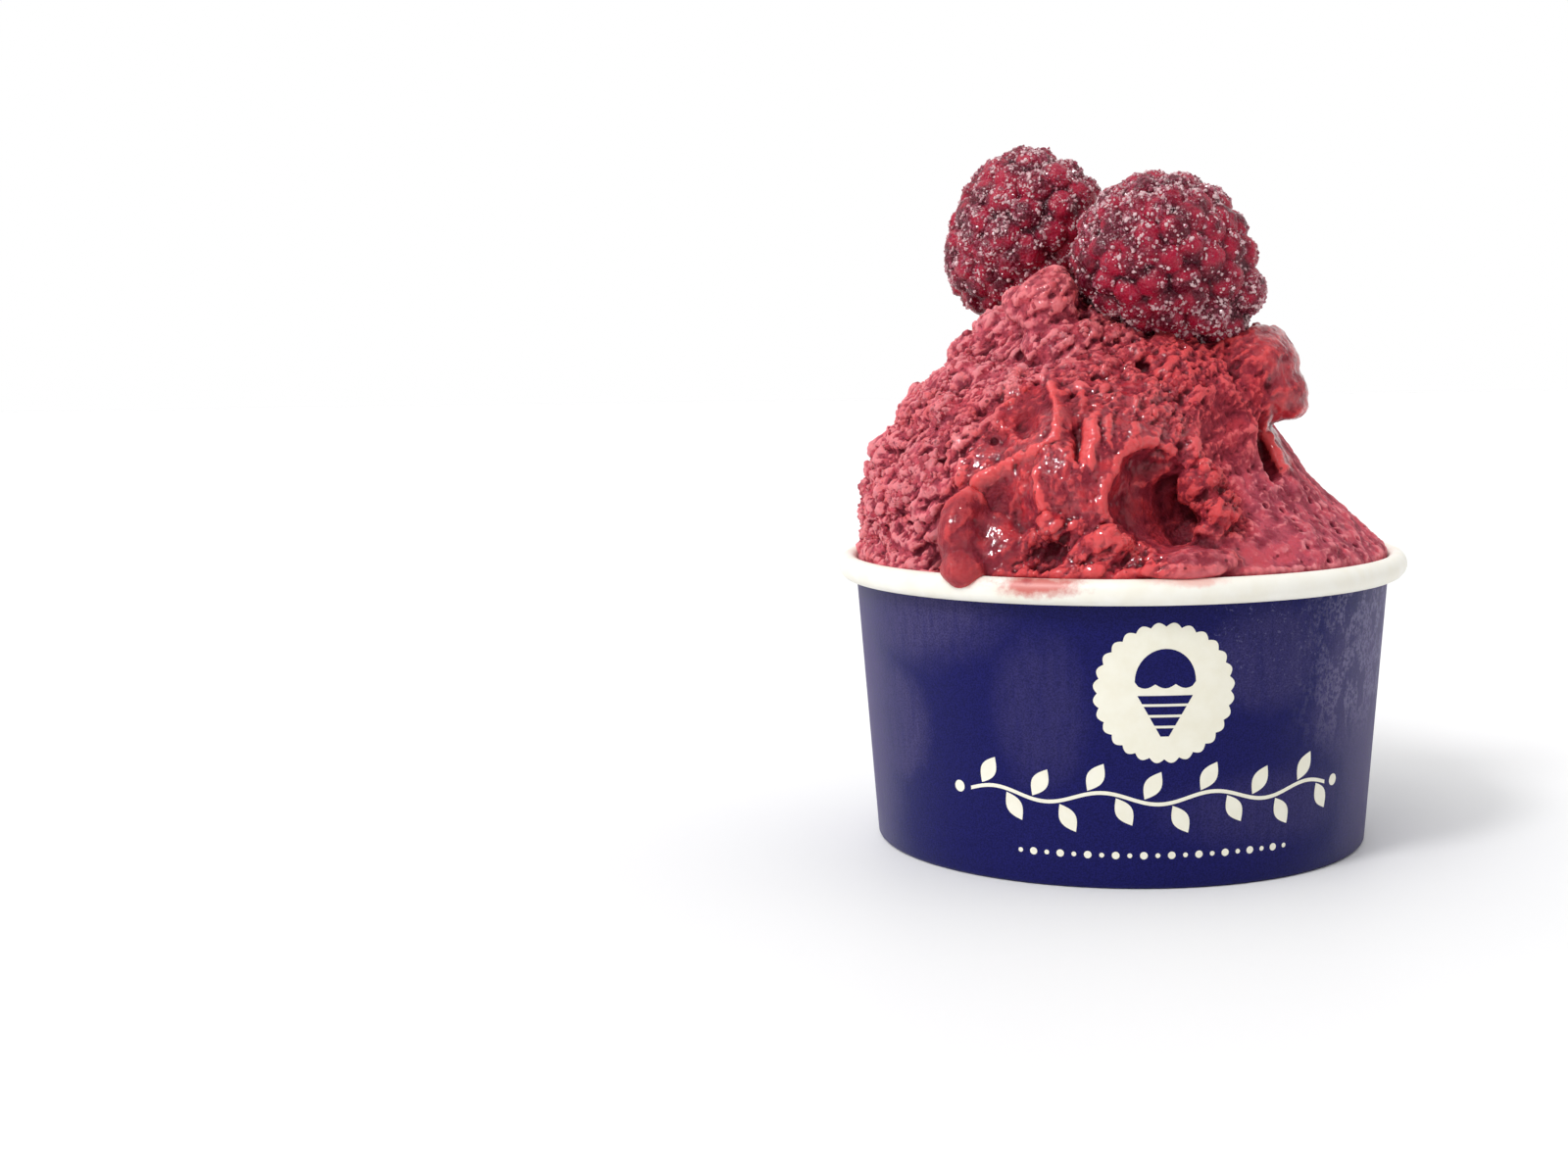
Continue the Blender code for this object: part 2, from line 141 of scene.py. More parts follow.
# Spatula loads pressed onto each other, in millimetres: centre, half sizes, turn about Z in degrees
LOADS = {
    "left_mass": ((-10.6, 1.0, 46.0), (25.6, 32.0, 23.6), 0),
    "left_shoulder": ((-15.0, -6.0, 52.0), (18.0, 22.0, 17.0), 20),
    "front_mass": ((-3.0, -9.5, 48.0), (20.0, 25.0, 21.5), 0),
    "back_mass": ((1.0, 12.0, 48.0), (22.5, 22.5, 20.0), -15),
    "neck": ((-0.8, 1.0, 63.0), (22.0, 19.5, 13.0), 0),
    "neck_left": ((-18.3, 1.0, 67.2), (5.6, 8.0, 5.0), 0),
    "crown": ((-8.0, 3.0, 71.6), (12.5, 12.5, 5.5), 0),
    "crown_right": ((10.0, -1.0, 66.0), (12.6, 12.0, 6.5), 0),
    "between_berries": ((-3.6, -6.0, 73.6), (4.6, 6.5, 4.8), 0),
    "front_wall": ((7.0, -12.0, 57.0), (12.0, 12.5, 12.5), 25),
    "right_lobe": ((18.3, -5.0, 66.3), (6.8, 8.0, 6.4), 0),
    "right_lobe_lip": ((21.0, -6.0, 63.4), (4.9, 6.2, 4.5), 0),
    "right_lobe_facet": ((16.4, -9.6, 61.8), (4.4, 5.6, 6.2), 0),
    "right_lobe_corner": ((23.4, -6.0, 61.2), (2.6, 4.6, 2.0), 0),
    "knob": ((-9.2, -12.0, 75.4), (4.0, 4.0, 5.4), 0),
    "knob_left": ((-12.8, -10.5, 76.0), (3.0, 3.0, 2.4), 0),
    "knob_root": ((-7.0, -12.5, 69.5), (6.0, 5.0, 4.5), 0),
    "central_fin": ((-6.4, -31.2, 51.8), (4.3, 3.3, 5.8), 0),
    "drip_lobe": ((-19.6, -30.6, 45.4), (3.6, 4.0, 5.6), -32),
    "drip_lobe_foot": ((-19.8, -33.2, 41.7), (3.2, 2.8, 2.6), -32),
    "drip_apron": ((-16.4, -29.5, 43.4), (6.2, 4.6, 5.2), -12),
    "rim_melt": ((8.2, -36.6, 42.0), (5.8, 2.1, 1.5), 12),
    "rim_melt_root": ((9.5, -34.0, 42.6), (6.5, 3.4, 2.2), 15),
    "lower_roll": ((-6.0, -31.2, 43.6), (9.0, 4.6, 4.2), -8),
    "nub_left": ((-7.9, -34.0, 47.2), (1.8, 1.7, 1.6), 0),
    "nub_mid": ((-5.2, -34.2, 46.9), (1.6, 1.7, 1.5), 0),
    "nub_right": ((-1.8, -34.8, 45.6), (2.6, 1.7, 1.5), 0),
    "back_fold": ((-8.0, 27.0, 54.0), (10.0, 6.0, 5.0), -20),
    "back_fold_low": ((10.0, 31.5, 46.0), (9.0, 4.0, 4.5), 20),
}

# The melted foot of the heap along the rim, in millimetres: start, pull of the bend, end, radius
FEET = {
    "foot_left": ((-23.0, -29.5, 41.3), (-12.9, -36.8, 41.3), (0.0, -36.8, 41.3), 0.7),
    "foot_right": ((0.0, -36.8, 41.3), (14.2, -36.8, 41.3), (25.0, -27.4, 41.3), 0.7),
}
FOOT_BEADS = 26

# Places where the spatula scooped the mass away, in the same terms as the loads
SCOOPED = {
    "bowl": ((5.2, -35.2, 50.6), (7.0, 7.6, 6.6), -10),
    "bowl_step": ((6.6, -32.8, 50.0), (4.9, 7.4, 5.8), -10),
    "bowl_cave": ((8.0, -30.6, 49.3), (3.3, 7.2, 4.8), -10),
    "bowl_roof": ((4.6, -33.0, 54.4), (4.6, 6.0, 4.0), 0),
    "under_lobe": ((21.0, -15.5, 56.4), (2.0, 6.0, 5.6), 20),
    "facet_low": ((-15.8, -35.0, 51.4), (3.3, 5.4, 3.6), 18),
    "dish": ((-11.6, -29.6, 61.8), (2.7, 5.4, 4.0), 20),
    "groove": ((-4.9, -32.6, 60.4), (1.3, 3.9, 5.6), 0),
    "hollow_left": ((-17.8, -31.0, 57.4), (2.5, 5.4, 2.5), 25),
    "hole_low": ((-9.2, -37.4, 43.9), (3.0, 3.0, 1.8), 0),
    "facet_right": ((15.8, -25.5, 60.5), (6.0, 8.4, 9.0), -30),
    "crease": ((-24.3, -30.2, 45.4), (1.0, 4.2, 4.6), -36),
    "back_hollow": ((16.0, 30.0, 58.0), (8.0, 9.0, 9.0), 30),
    "back_groove": ((-16.0, 34.0, 50.0), (9.0, 7.0, 4.6), -25),
}

# Lumps that stand in the hollows
LUMPS = {
    "bowl_lump": ((10.4, -26.4, 51.6), (3.2, 3.6, 2.9), 0),
    "bowl_lump_mid": ((12.6, -28.6, 48.6), (2.7, 2.9, 2.6), 0),
    "bowl_lump_low": ((11.2, -29.6, 46.0), (2.0, 2.2, 1.8), 0),
}

# How the surface is, place by place: centre and reach in millimetres, then crumb, smear, pores,
# wetness and paleness, each from 0 to 1; paleness is partly the gelato's own tone and partly
# painted light on lit places such as the neck and knob, and a paleness below 0 is painted shade
SURFACES = [
    ((-32, -6, 48), 12, 1.0, 0.0, 0.0, 0.10, 0.9),
    ((-27, -20, 46), 8, 1.0, 0.1, 0.0, 0.10, 0.9),
    ((-26, -18, 56), 9, 1.0, 0.0, 0.0, 0.10, 0.8),
    ((-22, -10, 65), 9, 0.85, 0.0, 0.0, 0.15, 0.8),
    ((-17, -22, 62), 6, 0.9, 0.0, 0.0, 0.35, 0.6),
    # the paleness of the next three rows is partly painted light on the lit neck, knob and top
    ((-12, -12, 70), 8, 0.45, 0.0, 0.0, 0.30, 1.0),
    ((-9, -14, 77), 5, 0.5, 0.0, 0.0, 0.45, 0.5),
    ((-1, -12, 72), 6, 0.8, 0.0, 0.0, 0.50, 0.5),
    ((8, -18, 68), 7, 0.8, 0.0, 0.0, 0.45, 0.1),
    ((-2, -22, 67), 7, 0.7, 0.3, 0.0, 0.60, 0.35),
    ((4, -25, 61), 6, 0.6, 0.5, 0.0, 0.75, 0.15),
    ((-8, -30, 60), 6, 0.2, 1.0, 0.0, 0.80, 0.05),
    ((-3, -31, 57), 6, 0.2, 1.0, 0.0, 0.95, 0.05),
    ((-14, -29, 56), 5, 0.20, 0.9, 0.0, 0.85, 0.0),
    ((-7, -34, 51), 6, 0.05, 0.9, 0.0, 0.90, 0.0),
    # rows with a paleness below 0, here and further down, are painted shade in shadowed places
    ((-16, -30, 50), 3, 0.20, 0.4, 0.0, 0.15, -0.5),
    ((-12, -26, 62), 3, 0.20, 0.3, 0.0, 0.15, -0.55),
    ((-5.5, -28, 62), 2, 0.30, 0.5, 0.0, 0.40, -0.4),
    ((-9, -35, 44), 2.5, 0.80, 0.1, 0.0, 0.30, -0.5),
    ((-10, -37, 42), 3, 0.90, 0.0, 0.0, 0.40, 0.1),
    ((0, -38, 42), 4, 0.80, 0.1, 0.0, 0.50, 0.1),
    ((7, -27, 49), 4, 0.20, 0.6, 0.0, 0.20, -0.3),
    ((-20, -33, 45), 5, 0.03, 0.3, 0.1, 0.45, -0.35),
    ((-16, -33, 46), 3, 0.03, 0.3, 0.0, 1.00, 0.0),
    ((-7, -36, 45), 4, 0.65, 0.3, 0.0, 0.75, 0.0),
    ((-1, -36, 45), 5, 0.55, 0.4, 0.0, 0.75, 0.0),
    ((2, -30, 51), 5, 0.04, 0.7, 0.0, 0.50, 0.25),
    ((12, -27, 49), 4, 1.0, 0.0, 0.0, 0.45, -0.45),
    ((14, -20, 60), 8, 0.35, 0.6, 0.1, 0.25, 0.3),
    ((22, -22, 47), 9, 0.22, 0.2, 0.8, 0.20, 1.0),
    ((31, -8, 45), 10, 0.25, 0.1, 1.0, 0.15, 1.0),
    ((12, -33, 44), 6, 0.08, 0.4, 0.4, 0.50, 0.5),
    ((26, 6, 50), 10, 0.10, 0.2, 0.9, 0.15, 0.9),
    ((16.5, -13, 63), 4, 0.45, 0.4, 0.2, 0.20, 0.1),
    ((22.5, -9, 66), 4, 0.12, 0.3, 0.0, 0.90, 0.1),
    ((23, -8, 62), 4, 0.03, 0.3, 0.0, 0.95, 0.0),
    ((21.5, -11, 56), 3, 0.20, 0.5, 0.0, 0.60, 0.0),
    ((14, 12, 66), 10, 0.80, 0.1, 0.0, 0.30, 0.4),
    ((-14, 14, 66), 10, 0.90, 0.0, 0.0, 0.20, 0.6),
    ((-20, 24, 50), 12, 0.90, 0.1, 0.0, 0.15, 0.8),
    ((2, 30, 54), 10, 0.15, 0.9, 0.0, 0.75, 0.1),
    ((18, 26, 54), 8, 0.12, 0.8, 0.2, 0.55, 0.1),
    ((22, 22, 44), 9, 0.10, 0.2, 0.9, 0.20, 0.9),
    ((6, 34, 44), 8, 0.45, 0.4, 0.2, 0.50, 0.3),
]

# How fast a place's say fades with distance, and how far small places outweigh large ones
PLACE_FADE = 1.4
PLACE_REACH = 8
PLACE_FAVOUR = 1.5

# Crests and creases too fine for the tables above, in millimetres: points, half width, lift, and
# how far the gentle flank lies to the right (1) or left (-1) of a stroke that runs down the heap
STROKES = [
    ([(-8.7, -22.4, 65.7), (-7.9, -30.1, 62.5), (-8.1, -31.9, 59.1), (-9.6, -32.2, 57.8),
      (-12.3, -31.4, 56.8), (-15.7, -31.2, 55.6), (-18.6, -30.7, 54.1), (-19.8, -30.6, 52.2),
      (-20.9, -31.0, 50.8)], 0.6, 1.5, 0.6),
    ([(-10.6, -32.9, 55.4), (-10.9, -33.8, 53.6), (-10.3, -34.6, 51.2), (-9.5, -35.1, 49.3),
      (-7.9, -35.2, 48.3)], 0.55, 1.2, -0.9),
    ([(-2.6, -30.0, 62.6), (-3.1, -30.7, 60.0), (-2.7, -31.4, 57.7), (-3.3, -32.8, 55.4),
      (-3.1, -33.6, 53.9)], 0.5, 1.2, -1.0),
    ([(-4.6, -25.7, 64.7), (-4.2, -27.5, 62.6), (-4.9, -27.7, 60.4)], 0.5, 0.7, -0.3),
    ([(-1.0, -29.3, 62.3), (-0.9, -30.6, 59.5), (-1.0, -31.9, 56.7)], 0.45, 0.7, -0.5),
    ([(2.1, -25.3, 64.1), (2.2, -28.7, 61.0), (2.3, -31.2, 58.1)], 0.45, 0.5, -0.5),
    ([(4.7, -31.0, 57.8), (2.3, -32.2, 55.8), (0.2, -33.4, 53.9), (-0.5, -35.1, 51.6),
      (-0.3, -35.7, 49.8), (1.3, -35.9, 47.7), (3.2, -35.8, 46.2),
      (4.7, -35.2, 44.8)], 0.6, 0.35, 1.0),
    ([(10.4, -22.6, 63.0), (10.4, -24.3, 58.8), (10.6, -26.4, 54.8)], 0.35, -0.42, 0.0),
    ([(11.3, -22.4, 62.9), (11.1, -24.0, 60.1), (11.3, -25.9, 57.2), (11.6, -28.3, 54.2),
      (12.4, -30.0, 52.7)], 0.55, 0.9, -0.8),
    ([(-2.6, -34.4, 47.3), (0.2, -35.9, 45.3), (2.3, -34.6, 43.4), (3.9, -37.0, 43.0),
      (6.1, -38.6, 42.8)], 0.7, 0.8, 0.3),
    ([(-18.7, -30.2, 50.9), (-17.2, -30.2, 48.4), (-14.8, -30.2, 46.2)], 0.5, 0.5, 0.8),
    ([(-12.7, -33.5, 53.1), (-13.1, -30.7, 50.5), (-13.5, -30.6, 48.4),
      (-14.0, -30.5, 46.5)], 0.5, 0.6, -0.8),
    ([(-22.4, -24.6, 60.0), (-21.8, -27.1, 57.6), (-21.1, -28.1, 55.2),
      (-21.0, -29.5, 52.9)], 0.65, 1.1, 0.0),
    ([(-20.0, -23.4, 58.9), (-18.4, -24.8, 58.7), (-16.9, -25.2, 58.3)], 0.55, 0.6, 0.0),
    ([(-23.2, -27.4, 49.4), (-23.4, -27.6, 46.5), (-23.5, -26.9, 43.5),
      (-23.3, -28.9, 41.0)], 0.8, -1.7, 0.0),
    ([(-28.1, -22.3, 46.7), (-26.8, -23.7, 47.0), (-25.5, -24.8, 47.2)], 0.3, -0.7, 0.0),
    ([(-33.2, -5.0, 55.8), (-30.7, -14.4, 56.0), (-28.9, -17.2, 56.3)], 0.3, -0.6, 0.0),
    ([(-23.9, -22.8, 55.1), (-23.2, -23.7, 55.4), (-22.6, -24.8, 55.6)], 0.6, -0.9, 0.0),
    ([(-18.6, -33.0, 49.1), (-17.2, -33.4, 47.5), (-16.0, -33.8, 45.8),
      (-14.6, -34.0, 44.2)], 1.2, -0.7, 0.0),
    ([(-20.8, -32.5, 49.9), (-21.4, -33.3, 48.0), (-21.5, -34.1, 45.5), (-21.2, -35.2, 43.1),
      (-20.1, -36.1, 40.9)], 0.51, 0.3, 0.0),
    ([(-11.2, -34.7, 44.5), (-9.7, -34.5, 44.1), (-8.2, -35.0, 44.1),
      (-6.7, -35.8, 43.8)], 1.5, -0.9, 0.0),
    ([(-6.1, -25.2, 64.4), (-5.8, -27.4, 62.7), (-5.9, -28.6, 60.5),
      (-6.1, -32.3, 58.1)], 0.9, -0.6, 0.0),
    ([(6.4, -27.0, 53.9), (5.8, -25.6, 51.3), (6.1, -26.0, 48.7), (7.2, -27.1, 46.7),
      (9.2, -30.2, 45.8)], 1.2, -0.8, 0.0),
    ([(9.2, -30.2, 45.8), (11.4, -32.2, 44.7), (13.4, -31.6, 44.6)], 1.0, -0.7, 0.0),
    ([(15.3, -11.9, 67.8), (17.0, -12.8, 67.8), (18.4, -12.8, 68.6)], 0.3, 0.42, 0.0),
    ([(19.1, -9.9, 57.6), (19.7, -10.0, 55.2), (20.7, -11.7, 53.3),
      (21.9, -15.0, 51.8)], 0.7, -0.6, 0.0),
    ([(21.7, -16.7, 50.9), (22.0, -17.5, 49.9), (22.1, -18.8, 48.8)], 0.4, -0.35, 0.0),
    ([(21.4, -9.4, 58.8), (21.6, -10.4, 56.8), (22.1, -11.7, 54.6),
      (22.5, -13.7, 52.6)], 0.55, 0.6, 0.0),
    ([(14.1, -19.0, 62.0), (14.8, -18.7, 62.0), (15.4, -18.2, 62.0)], 0.3, -0.35, 0.0),
    ([(22.2, -10.9, 68.4), (22.5, -11.2, 66.0), (22.9, -10.6, 63.6)], 1.4, -0.4, 0.0),
    ([(-33.3, -13.8, 46.5), (-31.2, -18.5, 45.5)], 0.9, -0.63, 0.0),
    ([(-33.4, -13.4, 49.0), (-31.2, -17.8, 48.2), (-29.1, -21.5, 47.2)], 0.68, 0.49, 0.0),
    ([(-12.5, -32.6, 54.9), (-11.7, -33.5, 54.2), (-11.2, -34.4, 52.0)], 0.6, -0.42, 0.0),
    ([(-12.2, -15.8, 68.0), (-14.2, -20.0, 66.0), (-14.6, -22.4, 64.0),
      (-13.4, -24.2, 61.4)], 0.9, 1.0, 0.3),
    ([(21.3, -8.5, 59.5), (22.4, -9.2, 55.6), (21.8, -14.0, 50.5)], 0.5, 0.35, 0.0),
    ([(-4.0, 22.0, 66.0), (0.2, 27.6, 61.0), (0.4, 31.4, 56.0),
      (-4.0, 34.0, 48.0)], 0.9, 1.3, 0.7),
    ([(12.0, 15.0, 66.0), (17.0, 21.6, 59.8), (20.2, 25.0, 54.0),
      (22.0, 27.0, 48.0)], 0.9, 1.2, -0.7),
]
# The flank's width as a share of the crest's, its share of the lift, and how lean shifts that
FLANK_WIDTH = 3.6
FLANK_SHARE = 0.42
LEAN_SHARE = 0.34
STROKE_STEP = 0.25
STROKE_SOFTENING = 6

# Single pits in the same terms: middles, radius, lift
PITS = [
    ([(-31.1, -6.1, 59.8), (-27.0, -16.2, 60.9), (-25.8, -17.3, 61.8), (-26.7, -13.0, 63.0),
      (-18.5, -21.5, 61.9), (-28.0, -17.7, 57.9), (-26.9, -18.6, 58.9), (-20.0, -25.3, 56.2),
      (-18.4, -30.4, 54.9), (-21.2, -30.3, 51.9), (-29.3, -20.4, 42.6), (-16.1, -25.6, 57.9),
      (-10.6, -21.4, 64.9), (-13.0, -29.6, 55.4), (-14.8, -23.4, 64.3), (-24.4, -20.9, 59.6),
      (-32.3, -12.9, 52.4), (-26.9, -22.2, 53.0), (-28.8, -20.5, 50.9)], 0.45, -0.9),
    ([(5.5, -21.2, 65.3), (-4.3, -16.5, 69.6), (-5.8, -25.7, 64.1), (3.2, -17.3, 67.5),
      (-0.0, -14.1, 71.0), (-13.3, -12.0, 69.3), (-10.5, -16.0, 71.2), (8.2, -22.9, 62.9),
      (-2.6, -22.4, 66.6)], 0.6, -1.0),
    ([(25.9, -13.3, 48.9), (27.3, -12.5, 47.9), (28.7, -10.7, 47.2), (26.6, -15.2, 46.6),
      (27.3, -17.1, 45.9), (28.7, -14.6, 45.7), (30.1, -8.8, 46.7), (27.2, -21.2, 44.3),
      (30.0, -19.1, 42.9), (29.4, -15.7, 44.9), (33.8, -7.8, 43.5), (34.5, -9.6, 42.5),
      (24.1, -22.7, 45.8), (24.7, -24.8, 43.9), (23.0, -20.9, 46.9),
      (31.8, -15.3, 42.9)], 0.4, -0.8),
]

# Raspberries
BERRY_DETAIL = 7
BERRY_TAPER = 0.14
BERRY_FULLNESS = 2.3
DRUPELET_PITCH = 5.1 * MM
TIP_DRUPELET_SHARE = 0.60
DRUPELET_SWELL = 0.57
CORE_SHARE = 0.88
SWELLING_TIGHTNESS = 6
RING_SPACING = 0.88
FIRST_RING, LAST_RING = 0.08, math.pi - 0.15
STEM_HOLLOW_DEPTH = 5.5 * MM
STEM_HOLLOW_DEG = (16.0, 25.0)
BERRIES = {
    "raspberry_left": {
        "centre": (-13.5, 9.7, 85.7),
        "tip": (-0.60, -0.26, -0.76),
        "length": 25.4,
        "width": 22.8,
        "swelling": (-0.55, 0.0, -0.84),
        "swelling_share": 0.04,
        "seed": 4,
    },
    "raspberry_right": {
        "centre": (5.3, -7.2, 82.0),
        "tip": (-0.38, -0.91, 0.14),
        "length": 25.0,
        "width": 23.8,
        "swelling": (0.77, 0.08, -0.63),
        "swelling_share": 0.30,
        "seed": 11,
    },
}

# Light
ROOM_FRONT = 0.36
ROOM_BACK = 1.0
SOFTBOX_FROM = (-0.48, -0.60, 0.85)
# Strength, width in degrees, and whether it lights the diffuse and the glossy side of a surface
SOFTBOXES = {
    "softbox": (0.95, 48, True, False),
    "softbox_core": (1.0, 12, True, True),
    "glint": (2.8, 8, False, True),
}

# Camera
FOCAL_PIXELS = 2150.0
IMAGE_WIDTH = 1600.0
SENSOR_MM = 36.0
CAMERA_PLACE = (0.0, -0.305, 0.0722)
CAMERA_YAW = 0.158
CAMERA_PITCH = 0.1191
CAMERA_ROLL = -0.019


# Node trees


class Tree:
    """Adds nodes to a shader or geometry tree and joins them."""

    def __init__(self, tree):
        self.tree = tree

    def feed(self, socket, value):
        if isinstance(value, bpy.types.NodeSocket):
            self.tree.links.new(value, socket)
        else:
            socket.default_value = value

    def fill(self, node, feeds):
        """Gives the node's sockets their values or links."""
        for socket, value in feeds.items():
            self.feed(node.inputs[socket], value)

    def add(self, kind, feeds=None, **settings):
        made = self.tree.nodes.new(kind)
        for name, value in settings.items():
            setattr(made, name, value)
        self.fill(made, feeds or {})
        return made

    def maths(self, operation, *values, clamp=False):
        feeds = dict(enumerate(values))
        return self.add("ShaderNodeMath", feeds, operation=operation, use_clamp=clamp).outputs[0]

    def times(self, *values, clamp=False):
        """The values multiplied, one after another."""
        total = values[0]
        for value in values[1:]:
            total = self.maths("MULTIPLY", total, value, clamp=clamp)
        return total

    def plus(self, one, other):
        return self.maths("ADD", one, other)

    def minus(self, one, other, clamp=False):
        return self.maths("SUBTRACT", one, other, clamp=clamp)

    def vectors(self, operation, *values):
        feeds = dict(enumerate(values))
        return self.add("ShaderNodeVectorMath", feeds, operation=operation).outputs[0]

    def scaled(self, vector, factor):
        made = self.add("ShaderNodeVectorMath", {0: vector, "Scale": factor}, operation="SCALE")
        return made.outputs[0]

    def between(self, value, low, high, to_low=0.0, to_high=1.0):
        """The value's place between low and high, eased and clamped, as to_low to to_high."""
        feeds = {0: value, 1: low, 2: high, 3: to_low, 4: to_high}
        made = self.add("ShaderNodeMapRange", feeds, interpolation_type="SMOOTHSTEP")
        return made.outputs[0]

    def noise(self, vector, size, detail=2.0, roughness=0.5, colour=False):
        """Noise whose bumps measure about size, in the vector's own unit."""
        feeds = {"Vector": vector, "Scale": self.inverse(size)}
        feeds |= {"Detail": detail, "Roughness": roughness}
        return self.add("ShaderNodeTexNoise", feeds).outputs[1 if colour else 0]

    def cells(self, vector, size):
        """A cell pattern whose cells measure about size: distance and colour."""
        feeds = {"Vector": vector, "Scale": self.inverse(size)}
        made = self.add("ShaderNodeTexVoronoi", feeds).outputs
        return made["Distance"], made["Color"]

    def inverse(self, size):
        linked = isinstance(size, bpy.types.NodeSocket)
        return self.maths("DIVIDE", 1.0, size) if linked else 1.0 / size

    def blend(self, share, low, high):
        """Colour mix."""
        feeds = {0: share, 6: low, 7: high}
        return self.add("ShaderNodeMix", feeds, data_type="RGBA").outputs[2]

    def first(self, colour):
        """The red channel of a colour, as a random number for each cell."""
        in_geometry = self.tree.bl_idname == "GeometryNodeTree"
        kind = "ShaderNodeSeparateXYZ" if in_geometry else "ShaderNodeSeparateColor"
        return self.add(kind, {0: colour}).outputs[0]


def linear(red, green, blue):
    """Colour for a shader from 0 to 255 display values."""
    shares = [v / 255 for v in (red, green, blue)]
    return (*[s / 12.92 if s <= 0.04045 else ((s + 0.055) / 1.055) ** 2.4 for s in shares], 1.0)


def new_material(name):
    material = bpy.data.materials.new(name)
    material.use_nodes = True
    tree = Tree(material.node_tree)
    shader = material.node_tree.nodes["Principled BSDF"]
    coords = tree.add("ShaderNodeTexCoord")
    place_mm = tree.scaled(coords.outputs["Object"], 1000.0)
    return material, tree, shader, place_mm


def attributes(tree, *names):
    for name in names:
        yield tree.add("ShaderNodeAttribute", attribute_name=name).outputs["Fac"]


def set_bump(tree, shader, height, distance, strength=1.0, socket="Normal"):
    feeds = {"Height": height, "Distance": distance, "Strength": strength}
    tree.feed(shader.inputs[socket], tree.add("ShaderNodeBump", feeds).outputs[0])


# Geometry trees


def geometry_tree(name, sizes):
    """A geometry tree with a named input for each size, and its Tree helper and group input."""
    group = bpy.data.node_groups.new(name, "GeometryNodeTree")
    group.interface.new_socket("Geometry", in_out="INPUT", socket_type="NodeSocketGeometry")
    group.interface.new_socket("Geometry", in_out="OUTPUT", socket_type="NodeSocketGeometry")
    for label, value in sizes.items():
        kind = "NodeSocketInt" if isinstance(value, int) else "NodeSocketFloat"
        socket = group.interface.new_socket(label, in_out="INPUT", socket_type=kind)
        socket.default_value = value
    tree = Tree(group)
    entry = tree.add("NodeGroupInput")
    return group, tree, entry.outputs


def end_tree(tree, geometry, material):
    realised = tree.add("GeometryNodeRealizeInstances", {0: geometry})
    dressed = tree.add("GeometryNodeSetMaterial", {0: realised.outputs[0], "Material": material})
    tree.add("NodeGroupOutput", {0: dressed.outputs[0]})


def named_field(tree, name):
    feeds = {"Name": name}
    made = tree.add("GeometryNodeInputNamedAttribute", feeds, data_type="FLOAT")
    return made.outputs["Attribute"]


def place_of(tree):
    """Each point's place in millimetres."""
    return tree.scaled(tree.add("GeometryNodeInputPosition").outputs[0], 1000.0)


def normal_of(tree):
    return tree.add("GeometryNodeInputNormal").outputs[0]


def moved(tree, geometry, offset):
    feeds = {0: geometry, "Offset": offset}
    return tree.add("GeometryNodeSetPosition", feeds).outputs[0]


def kept_field(tree, geometry, name, value):
    feeds = {0: geometry, "Name": name, "Value": value}
    return tree.add("GeometryNodeStoreNamedAttribute", feeds, data_type="FLOAT").outputs[0]


def smoothed_over(tree, value, rounds):
    """A vector field blurred along the surface."""
    feeds = {"Value": value, "Iterations": rounds}
    made = tree.add("GeometryNodeBlurAttribute", feeds, data_type="FLOAT_VECTOR")
    return made.outputs[0]


def spread(tree, sizes, density):
    """Random points on the mesh, this many per square metre."""
    feeds = {"Mesh": sizes["Geometry"], "Density": density, "Seed": sizes["Seed"]}
    return tree.add("GeometryNodeDistributePointsOnFaces", feeds).outputs


def random_share(tree, seed):
    made = tree.add("FunctionNodeRandomValue", {"Seed": seed}, data_type="FLOAT")
    return made.outputs[1]


def random_vector(tree, seed, low, high):
    feeds = {"Min": low, "Max": high, "Seed": seed}
    return tree.add("FunctionNodeRandomValue", feeds, data_type="FLOAT_VECTOR").outputs[0]


def random_size(tree, sizes, skew):
    """A size from smallest to largest, the small ones more common."""
    grown = tree.maths("POWER", random_share(tree, sizes["Seed"]), skew)
    grown = tree.times(grown, tree.minus(sizes["Largest"], sizes["Smallest"]))
    return tree.plus(grown, sizes["Smallest"])


def balls_on(tree, points, rounds, size, least, most):
    """Uneven balls on the points, each stretched and turned in its own way."""
    ball = tree.add("GeometryNodeMeshIcoSphere", {"Radius": MM, "Subdivisions": rounds})
    turn = random_vector(tree, TURN_SEED, (0, 0, 0), (6.28, 6.28, 6.28))
    feeds = {
        "Points": points,
        "Instance": ball.outputs[0],
        "Scale": tree.scaled(random_vector(tree, STRETCH_SEED, least, most), size),
        "Rotation": tree.add("FunctionNodeEulerToRotation", {0: turn}).outputs[0],
    }
    return tree.add("GeometryNodeInstanceOnPoints", feeds).outputs[0]


def apply_tree(name, mesh, group, sizes):
    """Runs a geometry tree on a mesh and returns the result as a plain mesh."""
    carrier = object_of(name + "_carrier", mesh)
    made = carrier.modifiers.new(group.name, "NODES")
    made.node_group = group
    for item in group.interface.items_tree:
        if item.in_out == "INPUT" and item.name in sizes:
            made[item.identifier] = sizes[item.name]
    return settled(carrier)


def settled(carrier):
    """The object's mesh with its modifiers applied; the object itself is removed."""
    graph = bpy.context.evaluated_depsgraph_get()
    evaluated = carrier.evaluated_get(graph)
    new = bpy.data.meshes.new_from_object
    mesh = new(evaluated, preserve_all_data_layers=True, depsgraph=graph)
    mesh.name = carrier.name
    carrier.modifiers.clear()
    bpy.data.objects.remove(carrier)
    return mesh


# Meshes


